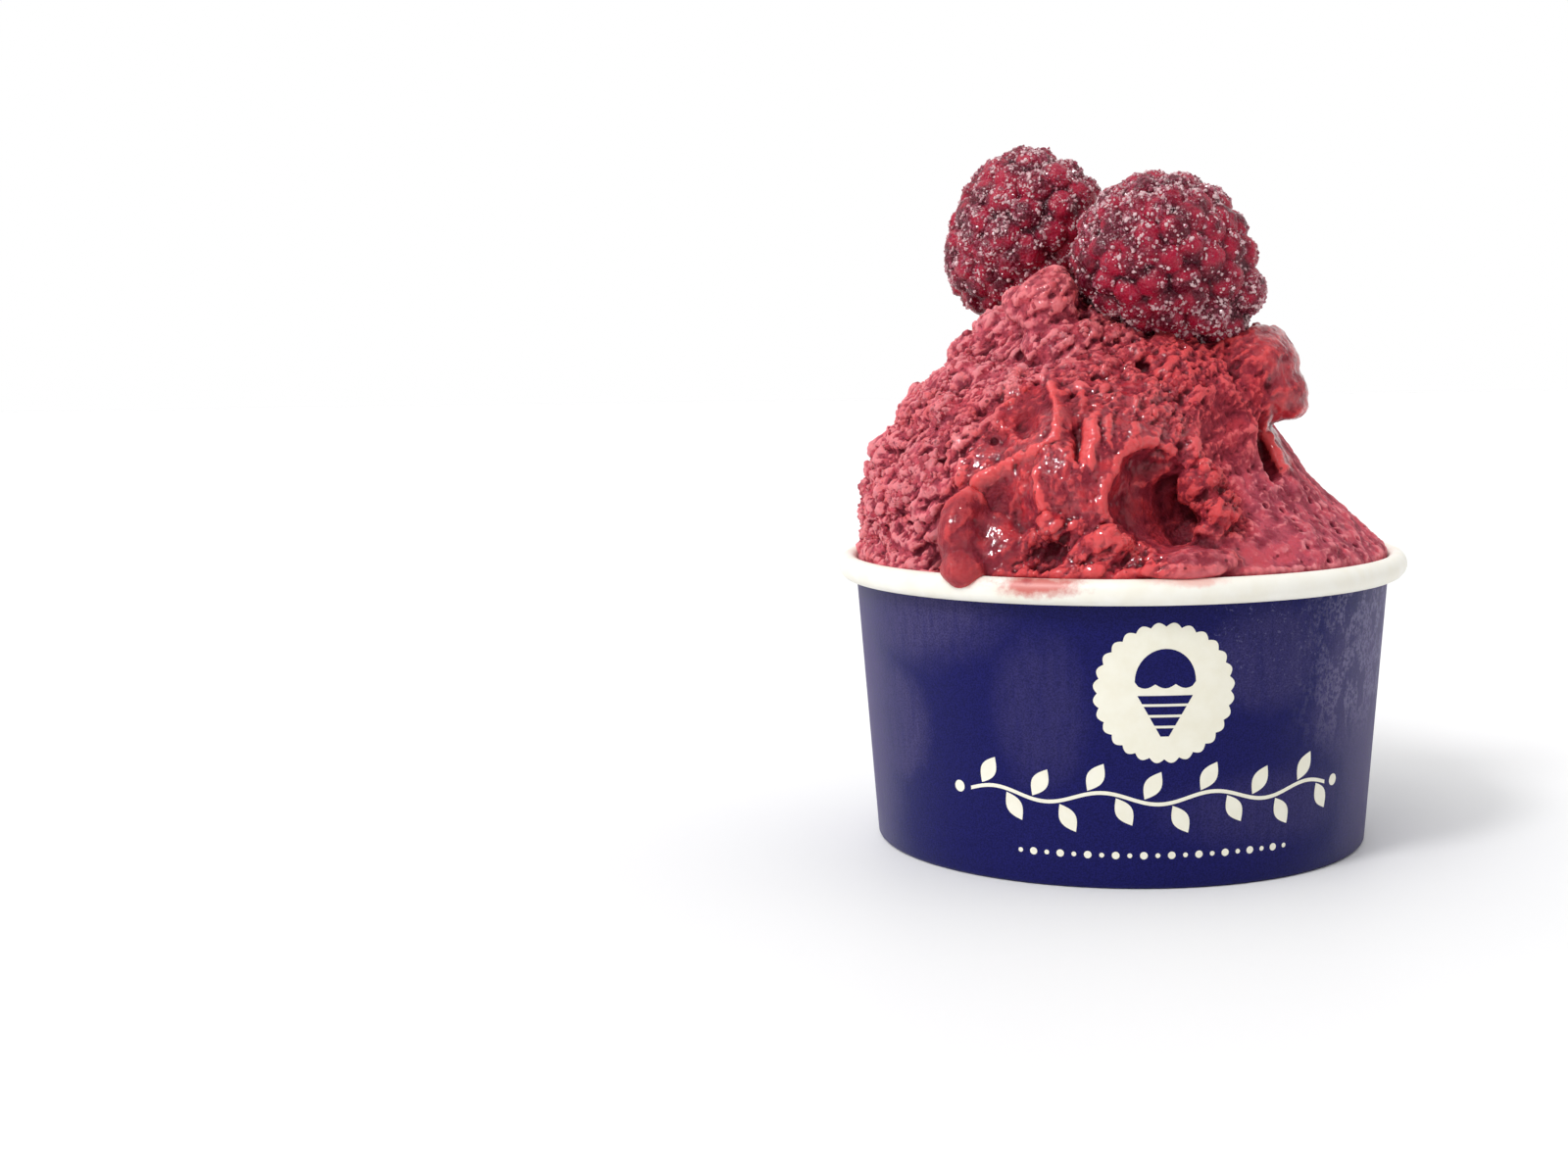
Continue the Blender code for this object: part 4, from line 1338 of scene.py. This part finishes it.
def largest_part(mesh):
    """Drops loose islands and keeps the largest."""
    with edited(mesh) as bm:
        seen = set()
        islands = []
        for start in bm.verts:
            if start in seen:
                continue
            island = [start]
            seen.add(start)
            for vert in island:
                for e in vert.link_edges:
                    other = e.other_vert(vert)
                    if other not in seen:
                        seen.add(other)
                        island.append(other)
            islands.append(island)
        islands.sort(key=len)
        for island in islands[:-1]:
            bmesh.ops.delete(bm, geom=island, context="VERTS")
    return mesh


def gelato(material):
    mesh = open_below(largest_part(heap_mesh()), OPEN_HEIGHT)
    points = points_of(mesh)
    free = eased(room_to_cup(points), 0.0, FREE_FROM_CUP)
    normals = normals_of(mesh)
    lift = drawn_strokes(points, normals) * free * MM
    points += normals * lift[:, None]
    put_points(mesh, points)
    fields = dict(zip(("crumb", "smear", "pores", "wet", "pale_light_and_shade"), surface_fields(points)))
    fields["free"] = free
    # the lift, kept as drawn, steers painted highlight on the drawn crests and painted shade in the
    # creases
    fields["drawn"] = lift / MM
    for name, values in fields.items():
        put_field(mesh, name, values)
    mesh = apply_tree("gelato_mass", mesh, relief_tree(material), RELIEF)
    put_points(mesh, keep_out_of_cup(points_of(mesh)))
    mesh = apply_tree("gelato_mass", mesh, hollow_tree(material), HOLLOWS)
    mesh = thinned(mesh, HEAP_TRIANGLES)
    for name, facts, rounds in (("gelato_crumbs", CRUMBS, 2), ("gelato_grains", GRAINS, 1)):
        crumbs = apply_tree(name, mesh.copy(), crumb_tree(name, facts, rounds, material), facts)
        put_points(crumbs, keep_out_of_cup(points_of(crumbs)))
        crumbs.shade_smooth()
        piece(name, crumbs, [material])
    mesh = close_into_cup(mesh, GELATO_FLOOR)
    mesh.shade_smooth()
    piece("gelato_mass", mesh, [material], "gelato")


def normals_of(mesh):
    flat = np.empty(len(mesh.vertices) * 3)
    mesh.vertex_normals.foreach_get("vector", flat)
    return flat.reshape(-1, 3)


# Raspberries


def berry_turn(spec):
    return Vector(spec["tip"]).to_track_quat("Z", "Y").to_matrix()


def berry_form(spec):
    """Half length, half width, and where and how far one side swells, in the berry's frame."""
    swelling = berry_turn(spec).transposed() @ Vector(spec["swelling"]).normalized()
    length, width = spec["length"] / 2 * MM, spec["width"] / 2 * MM
    return length, width, np.array(swelling), spec["swelling_share"]


def swollen(directions, form):
    """How much further out the surface lies in each direction because of the swelling."""
    return 1 + form[3] * np.maximum(0.0, directions @ form[2]) ** SWELLING_TIGHTNESS


def berry_body(directions, form):
    """Distance from the berry's centre to its smooth thimble shape, whose tip points along +Z."""
    side = form[1] * (1.0 - BERRY_TAPER * directions[:, 2])
    across = np.hypot(directions[:, 0], directions[:, 1]) / side
    along = np.abs(directions[:, 2]) / form[0]
    even = (across**BERRY_FULLNESS + along**BERRY_FULLNESS) ** (-1 / BERRY_FULLNESS)
    return even * swollen(directions, form)


def drupelet_pitch(polar):
    """Distance between neighbouring drupelets, which are small round the tip."""
    grown = min(1.0, polar / 1.1)
    return DRUPELET_PITCH * (TIP_DRUPELET_SHARE + (1 - TIP_DRUPELET_SHARE) * grown)


def drupelets(form, seed):
    """Centres and radii of the drupelets, in rings from the tip to the stem end."""
    chance = random.Random(seed)
    found = []
    polar = FIRST_RING
    while polar < LAST_RING:
        pitch = drupelet_pitch(polar)
        side = np.array([(math.sin(polar), 0, math.cos(polar))])
        reach = float(berry_body(side, form)[0] / swollen(side, form)[0])
        round_this = max(1, round(2 * math.pi * reach * math.sin(polar) / pitch))
        start = chance.uniform(0, 2 * math.pi)
        for k in range(round_this):
            turn = start + 2 * math.pi * (k + chance.uniform(-0.12, 0.12)) / round_this
            tilt = polar + chance.uniform(-0.05, 0.05)
            level = (math.sin(tilt) * math.cos(turn), math.sin(tilt) * math.sin(turn))
            direction = np.array([(*level, math.cos(tilt))])
            radius = pitch * DRUPELET_SWELL * chance.uniform(0.90, 1.12)
            radius *= swollen(direction, form)[0]
            found.append((direction[0] * (berry_body(direction, form)[0] - radius), radius))
        polar += RING_SPACING * pitch / reach
    return found


def berry_reach(directions, beads, form):
    """Distance from the centre to the surface, and how deep each point lies in a groove."""
    body = berry_body(directions, form)
    reach = CORE_SHARE * body
    for centre, radius in beads:
        along = directions @ centre
        inside = along**2 - centre @ centre + radius**2
        hit = np.where(inside > 0, along + np.sqrt(np.maximum(inside, 0)), 0)
        reach = np.maximum(reach, hit)
    groove = (body - reach) / MM
    off_stem = np.degrees(np.arccos(np.clip(-directions[:, 2], -1, 1)))
    low, high = STEM_HOLLOW_DEG
    share = np.clip((high - off_stem) / (high - low), 0, 1)
    return reach + share * (form[0] - STEM_HOLLOW_DEPTH - reach), groove


def star_mesh(name, detail, spec, reach_of):
    """A ball whose points are pushed out to the distances that reach_of gives, set in its place."""
    bm = bmesh.new()
    bmesh.ops.create_icosphere(bm, subdivisions=detail, radius=1)
    mesh = mesh_of(name, bm)
    directions = points_of(mesh)
    directions /= np.linalg.norm(directions, axis=1)[:, None]
    put_points(mesh, directions * reach_of(directions)[:, None])
    mesh.transform(Matrix.Translation(Vector(spec["centre"]) * MM) @ berry_turn(spec).to_4x4())
    return mesh


def socket_mesh(name, spec):
    """The space that a berry takes out of the gelato, a little smaller than the berry itself."""
    form = berry_form(spec)

    def reach_of(directions):
        return berry_body(directions, form) - SOCKET_BITE

    return star_mesh(name + "_socket", 5, spec, reach_of)


SKIN = {
    "Wrinkle Size": 1.5,
    "Wrinkle Depth": 0.5,
    "Rime Size": 0.45,
    "Rime Depth": 0.10,
}


def skin_tree(material):
    """The wrinkled skin of the drupelets and the rime on it, in millimetres along the normal."""
    group, tree, sizes = geometry_tree("berry_skin", SKIN)
    place = place_of(tree)
    wrinkle = tree.minus(tree.noise(place, sizes["Wrinkle Size"], 3.0), 0.5)
    wrinkle = tree.times(wrinkle, tree.times(sizes["Wrinkle Depth"], 2.0))
    rime, _ = tree.cells(place, sizes["Rime Size"])
    rime = tree.times(tree.minus(0.5, rime), sizes["Rime Depth"], named_field(tree, "frost"))
    push = tree.scaled(normal_of(tree), tree.times(tree.plus(wrinkle, rime), MM))
    end_tree(tree, moved(tree, sizes["Geometry"], push), material)
    return group


def frost_field(points, normals, seed):
    """How much frost lies at each point: patchy, and most on the berry's front."""
    chance = random.Random(seed)
    amount = np.zeros(len(points))
    for _ in range(5):
        wave = np.array([chance.uniform(-1, 1) for _ in range(3)]) / (3.2 * MM)
        amount += np.sin(points @ wave + chance.uniform(0, 6.3))
    patchy = eased(amount / 2.2, -0.9, 0.7)
    facing = eased(-normals[:, 1] * 0.8 + normals[:, 2] * 0.1, -0.5, 0.6)
    return 0.40 + 0.60 * patchy * (0.45 + 0.55 * facing)


CRYSTALS = {
    "Crystals Per Square Metre": 4.6e6,
    "Smallest": 0.08,
    "Largest": 0.40,
    "Seed": 3,
}


def crystal_tree(material):
    """Small irregular ice crystals, thickest where the frost field is high."""
    group, tree, sizes = geometry_tree("frost_crystals", CRYSTALS)
    clump = tree.between(tree.noise(place_of(tree), 1.9, 2.0), 0.44, 0.60, 0.2, 1.9)
    density = tree.times(named_field(tree, "frost"), clump, sizes["Crystals Per Square Metre"])
    points = spread(tree, sizes, density)["Points"]
    grown = random_size(tree, sizes, 1.9)
    placed = balls_on(tree, points, 1, grown, (0.55, 0.55, 0.45), (1.25, 1.25, 1.0))
    end_tree(tree, placed, material)
    return group


def raspberry(name, spec, skin, ice):
    form = berry_form(spec)
    beads = drupelets(form, spec["seed"])
    grooves = []

    def reach_of(directions):
        reach, groove = berry_reach(directions, beads, form)
        grooves.append(groove)
        return reach

    mesh = star_mesh(name, BERRY_DETAIL, spec, reach_of)
    put_field(mesh, "groove", grooves[0])
    put_field(mesh, "frost", frost_field(points_of(mesh), normals_of(mesh), spec["seed"]))
    mesh = apply_tree(name + "_skin", mesh, skin_tree(skin), SKIN)
    mesh.shade_smooth()
    side = name.split("_")[1]
    facts = CRYSTALS | {"Seed": spec["seed"]}
    crystals = apply_tree(f"frost_{side}", mesh.copy(), crystal_tree(ice), facts)
    piece(name + "_fruit", mesh, [skin], name)
    piece(f"frost_{side}", crystals, [ice])


# Materials


def gelato_material():
    material, tree, shader, place = new_material("gelato_red")
    dip, hollow, pale_light_and_shade = attributes(tree, "dip", "hollow", "pale_light_and_shade")
    wet, crumb, drawn = attributes(tree, "wet", "crumb", "drawn")
    soft = tree.noise(place, 3.0, 3.0)
    mottle = tree.noise(place, 1.2, 3.0, 0.6)
    fine = tree.noise(place, 0.45, 2.0)
    pale_light_and_shade = tree.times(pale_light_and_shade, tree.between(soft, 0.30, 0.60, 0.55, 1.1))
    rosy = tree.between(pale_light_and_shade, 0.0, 1.0)
    deep = tree.blend(rosy, linear(136, 36, 52), linear(148, 54, 72))
    light = tree.blend(rosy, linear(172, 52, 64), linear(204, 90, 106))
    # crest: the painted highlight colour for proud forms, drawn crests and crumbs
    crest = tree.blend(rosy, linear(234, 86, 88), linear(244, 152, 158))
    # the painted shade colour for the floors of dips
    painted_dip_shade = tree.blend(rosy, linear(84, 10, 24), linear(104, 26, 44))
    red = tree.times(tree.between(soft, 0.50, 0.62), tree.between(wet, 0.2, 0.9, 0.25, 0.5))
    # the mask of painted shade in dips
    pit = tree.between(dip, 0.04, 0.24, 0.0, 0.9)
    speck, chance = tree.cells(place, 1.7)
    chance = tree.between(tree.first(chance), 0.84, 0.88)
    calm = tree.blend(tree.between(crumb, 0.1, 0.6), soft, mottle)
    body = tree.blend(tree.between(tree.first(calm), 0.38, 0.62), deep, light)
    for share, colour in (
        (red, linear(192, 34, 42)),
        # painted highlight where the surface stands just above its surroundings
        (tree.between(dip, -0.01, -0.16, 0.0, 0.7), crest),
        # painted highlight on forms that stand above their wider surroundings
        (tree.between(hollow, -0.3, -1.3, 0.0, 0.18), crest),
        # painted shade in hollows
        (tree.between(hollow, 0.15, 1.2, 0.0, 0.7), linear(98, 18, 34)),
        # painted shade where the paleness is below 0
        (tree.between(pale_light_and_shade, 0.0, -0.7, 0.0, 0.7), linear(90, 24, 38)),
        # painted highlight along drawn crests
        (tree.between(drawn, 0.45, 1.1, 0.0, 0.6), crest),
        # painted shade along drawn creases
        (tree.between(drawn, -0.25, -0.9, 0.0, 0.5), linear(90, 18, 34)),
        # painted shade in dips
        (pit, painted_dip_shade),
        (tree.times(tree.between(speck, 0.20, 0.10), chance, 0.7), linear(70, 10, 24)),
    ):
        body = tree.blend(share, body, colour)
    film = tree.times(
        tree.between(wet, 0.30, 0.70),
        tree.between(soft, 0.40, 0.48, 0.3, 1.0),
        tree.between(pit, 0.0, 0.5, 1.0, 0.3),
    )
    film = tree.maths("MAXIMUM", film, tree.between(drawn, 0.4, 0.8, 0.0, 0.9))
    grain, _ = tree.cells(place, 0.42)
    height = tree.plus(tree.times(grain, -0.6), fine)
    height = tree.times(height, tree.between(film, 0.0, 1.0, 1.0, 0.2))
    height = tree.plus(height, tree.times(mottle, 1.4))
    set_bump(tree, shader, height, 0.16 * MM, 0.9)
    set_bump(tree, shader, tree.noise(place, 0.9, 1.0), 0.26 * MM, socket="Coat Normal")
    tree.fill(shader, {
        "Base Color": body,
        "Roughness": tree.between(film, 0.0, 1.0, 0.62, 0.36),
        "Coat Weight": film,
        "Coat Roughness": 0.07,
        "Coat IOR": 1.4,
        "Subsurface Weight": 0.3,
        "Subsurface Radius": (1.0, 0.25, 0.18),
        "Subsurface Scale": 0.6 * MM,
        "IOR": 1.42,
        "Specular IOR Level": 0.15,
    })
    return material


def berry_material():
    material, tree, shader, place = new_material("berry_red")
    groove, frost = attributes(tree, "groove", "frost")
    tone = tree.noise(place, 3.2, 2.0)
    rime = tree.times(tree.between(tree.noise(place, 0.38, 3.0, 0.7), 0.50, 0.66), frost)
    body = tree.blend(tree.between(tone, 0.38, 0.62), linear(92, 8, 32), linear(168, 24, 56))
    # painted shade darkens the grooves between the drupelets
    body = tree.blend(tree.between(groove, 0.6, 1.4, 0.0, 0.9), body, linear(54, 8, 24))
    body = tree.blend(tree.times(rime, 0.5), body, linear(186, 96, 120))
    grain, _ = tree.cells(place, 0.34)
    set_bump(tree, shader, tree.times(grain, -1.0), 0.12 * MM, 0.8)
    tree.fill(shader, {
        "Base Color": body,
        "Roughness": tree.between(rime, 0.0, 0.6, 0.26, 0.60),
        "Subsurface Weight": 0.3,
        "Subsurface Radius": (1.0, 0.12, 0.12),
        "Subsurface Scale": 1.5 * MM,
        "Specular IOR Level": 0.25,
        "Sheen Weight": 0.1,
        "Sheen Roughness": 0.3,
        "Sheen Tint": linear(236, 190, 200),
    })
    return material


def ice_material():
    material, tree, shader, place = new_material("ice")
    tone = tree.between(tree.noise(place, 0.9, 2.0), 0.40, 0.60)
    tree.fill(shader, {
        "Base Color": tree.blend(tone, linear(178, 84, 106), linear(250, 216, 220)),
        "Roughness": 0.18,
        "IOR": 1.31,
        "Transmission Weight": 0.25,
    })
    return material


def haze(tree, angle, height, ragged):
    """Where pale patches dull the print, from 0 to 1."""
    total = 0.0
    for middle, half_angle, middle_height, half_height, strength, softness in HAZE:
        across = tree.maths("DIVIDE", tree.minus(angle, middle), half_angle)
        up = tree.maths("DIVIDE", tree.minus(height, middle_height), half_height)
        off = tree.plus(tree.times(across, across), tree.times(up, up))
        off = tree.maths("SQRT", off)
        here = tree.between(tree.plus(off, ragged), 1.0 + softness, 1.0 - softness)
        total = tree.maths("MAXIMUM", total, tree.times(here, strength))
    return total


def print_material():
    """Coated paper printed navy, dulled by haze, with scuffs and fine flecks of frost."""
    material, tree, shader, place = new_material("printed_paper")
    across, ahead, height = tree.add("ShaderNodeSeparateXYZ", {0: place}).outputs
    turn = tree.maths("ARCTAN2", across, tree.times(ahead, -1.0))
    angle = tree.times(turn, 180 / math.pi)
    ragged = tree.times(tree.minus(tree.noise(place, 4.0, 4.0, 0.6), 0.5), 0.6)
    drips = tree.noise(tree.vectors("MULTIPLY", place, (1.0, 1.0, 0.16)), 0.9, 3.0, 0.6)
    grain = tree.noise(place, 0.22, 2.0, 0.7)
    crystals = tree.noise(place, 0.55, 3.0, 0.7)
    ink = tree.blend(tree.between(grain, 0.35, 0.65), linear(11, 12, 72), linear(23, 23, 96))
    dull = haze(tree, angle, height, ragged)
    dull = tree.times(dull, tree.between(drips, 0.30, 0.62, 0.72, 1.15), clamp=True)
    dull = tree.times(dull, tree.between(grain, 0.32, 0.68, 0.55, 1.25), clamp=True)
    body = tree.blend(dull, ink, linear(124, 112, 148))
    scuffs = tree.noise(tree.vectors("MULTIPLY", place, (1.0, 1.0, 0.6)), 3.4, 3.0, 0.55)
    scuffs = tree.times(
        tree.between(angle, 34.0, 58.0),
        tree.between(angle, 100.0, 74.0),
        tree.between(height, 15.0, 24.0),
        tree.between(tree.maths("ABSOLUTE", tree.minus(scuffs, 0.52)), 0.10, 0.03),
        tree.between(crystals, 0.40, 0.56),
        0.30,
    )
    body = tree.blend(scuffs, body, linear(160, 154, 186))
    flecks = tree.times(
        tree.between(angle, 8.0, 30.0),
        tree.between(height, 22.0, 30.0),
        tree.between(crystals, 0.60, 0.68),
        0.35,
    )
    body = tree.blend(flecks, body, linear(120, 118, 160))
    set_bump(tree, shader, tree.plus(crystals, ragged), 0.05 * MM, 0.5)
    tree.fill(shader, {
        "Base Color": body,
        "Roughness": tree.between(dull, 0.0, 0.5, 0.34, 0.62),
        "Specular IOR Level": 0.12,
    })
    return material


def cream_material():
    material, tree, shader, place = new_material("cream_print")
    tone = tree.between(tree.noise(place, 2.5, 4.0, 0.6), 0.3, 0.7)
    body = tree.blend(tone, linear(242, 238, 219), linear(246, 243, 227))
    set_bump(tree, shader, tree.noise(place, 0.3, 2.0), 0.02 * MM, 0.5)
    tree.fill(shader, {"Base Color": body, "Roughness": 0.5})
    return material


def bare_paper_material():
    """Uncoated off-white board, stained by melted gelato on the rim, with a painted shadow under
    the drip lobe.
    """
    material, tree, shader, place = new_material("white_paper")
    tone = tree.between(tree.noise(place, 4.0, 3.0), 0.3, 0.7)
    body = tree.blend(tone, linear(246, 242, 228), linear(251, 249, 240))
    ragged = tree.times(tree.minus(tree.noise(place, 1.6, 4.0, 0.65), 0.5), 1.1)
    for middle, reach, stain_and_shadow_colour, strength in STAINS_AND_SHADOW:
        off = tree.vectors("DIVIDE", tree.vectors("SUBTRACT", place, middle), reach)
        off = tree.add("ShaderNodeVectorMath", {0: off}, operation="LENGTH").outputs["Value"]
        here = tree.times(tree.between(tree.plus(off, ragged), 1.1, 0.3), strength)
        body = tree.blend(here, body, linear(*stain_and_shadow_colour))
    fibre = tree.noise(tree.vectors("MULTIPLY", place, (1.0, 1.0, 0.35)), 0.35, 3.0, 0.6)
    set_bump(tree, shader, fibre, 0.03 * MM, 0.6)
    tree.fill(shader, {"Base Color": body, "Roughness": 0.48})
    return material


# Stage


def floor_material():
    material, tree, shader, _ = new_material("table")
    tree.fill(shader, {"Base Color": (0.91, 0.91, 0.915, 1.0), "Roughness": 0.6})
    return material


def stage():
    bm = bmesh.new()
    bmesh.ops.create_grid(bm, x_segments=1, y_segments=1, size=2.0)
    floor = object_of("floor", mesh_of("floor", bm), floor_material())
    floor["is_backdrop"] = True


def lights():
    world = bpy.data.worlds.new("studio")
    world.use_nodes = True
    tree = Tree(world.node_tree)
    room = world.node_tree.nodes["Background"]
    direction = tree.add("ShaderNodeTexCoord").outputs["Generated"]
    back = tree.add("ShaderNodeSeparateXYZ", {0: direction}).outputs[1]
    tree.feed(room.inputs["Strength"], tree.between(back, -0.7, 0.5, ROOM_FRONT, ROOM_BACK))
    sweep = tree.add("ShaderNodeBackground", {"Color": (1, 1, 1, 1), "Strength": 1.0})
    seen = tree.add("ShaderNodeLightPath").outputs["Is Camera Ray"]
    both = tree.add("ShaderNodeMixShader", {0: seen, 1: room.outputs[0], 2: sweep.outputs[0]})
    room.inputs["Color"].default_value = (1.0, 1.0, 1.0, 1.0)
    tree.feed(world.node_tree.nodes["World Output"].inputs["Surface"], both.outputs[0])
    bpy.context.scene.world = world
    for name, (strength, spread_deg, diffuse, glossy) in SOFTBOXES.items():
        softbox = bpy.data.lights.new(name, "SUN")
        softbox.energy = strength
        softbox.angle = math.radians(spread_deg)
        lamp = bpy.data.objects.new(name, softbox)
        lamp.visible_diffuse = diffuse
        lamp.visible_glossy = glossy
        bpy.context.scene.collection.objects.link(lamp)
        lamp.rotation_euler = (-Vector(SOFTBOX_FROM)).to_track_quat("-Z", "Y").to_euler()
    bpy.context.scene.view_settings.view_transform = "Standard"


def camera():
    turn = Matrix.Rotation(CAMERA_YAW, 3, "Z") @ Matrix.Rotation(-CAMERA_PITCH, 3, "X")
    turn = turn @ Matrix.Rotation(math.pi / 2, 3, "X") @ Matrix.Rotation(CAMERA_ROLL, 3, "Z")
    data = bpy.data.cameras.new("camera")
    data.sensor_width = SENSOR_MM
    data.lens = FOCAL_PIXELS / IMAGE_WIDTH * SENSOR_MM
    data.clip_start = 0.01
    obj = bpy.data.objects.new("camera", data)
    obj.matrix_world = Matrix.Translation(CAMERA_PLACE) @ turn.to_4x4()
    bpy.context.scene.collection.objects.link(obj)
    bpy.context.scene.camera = obj


def corners(bounds):
    return [[round(float(v), 6) for v in corner] for corner in bounds]


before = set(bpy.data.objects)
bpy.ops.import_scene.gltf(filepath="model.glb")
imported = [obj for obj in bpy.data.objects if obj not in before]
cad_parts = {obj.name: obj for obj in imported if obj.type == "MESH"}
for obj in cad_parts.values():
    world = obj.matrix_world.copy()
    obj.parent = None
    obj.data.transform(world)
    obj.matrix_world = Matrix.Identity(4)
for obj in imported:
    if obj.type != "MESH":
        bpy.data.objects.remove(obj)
cad_box = corners(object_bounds())
gelato_red = gelato_material()
berry_red = berry_material()
ice = ice_material()
printed_paper = print_material()
white_paper = bare_paper_material()
piece("cup_wall_paper", cup_wall_mesh(), [printed_paper, white_paper], "cup_wall")
piece("cup_bottom_paper", cup_bottom_mesh(), [white_paper], "cup_bottom")
cup_print(cream_material(), printed_paper)
gelato(gelato_red)
for berry, facts in BERRIES.items():
    raspberry(berry, facts, berry_red, ice)
stage()
lights()
camera()
{"cad": cad_box, "visual": corners(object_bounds())}
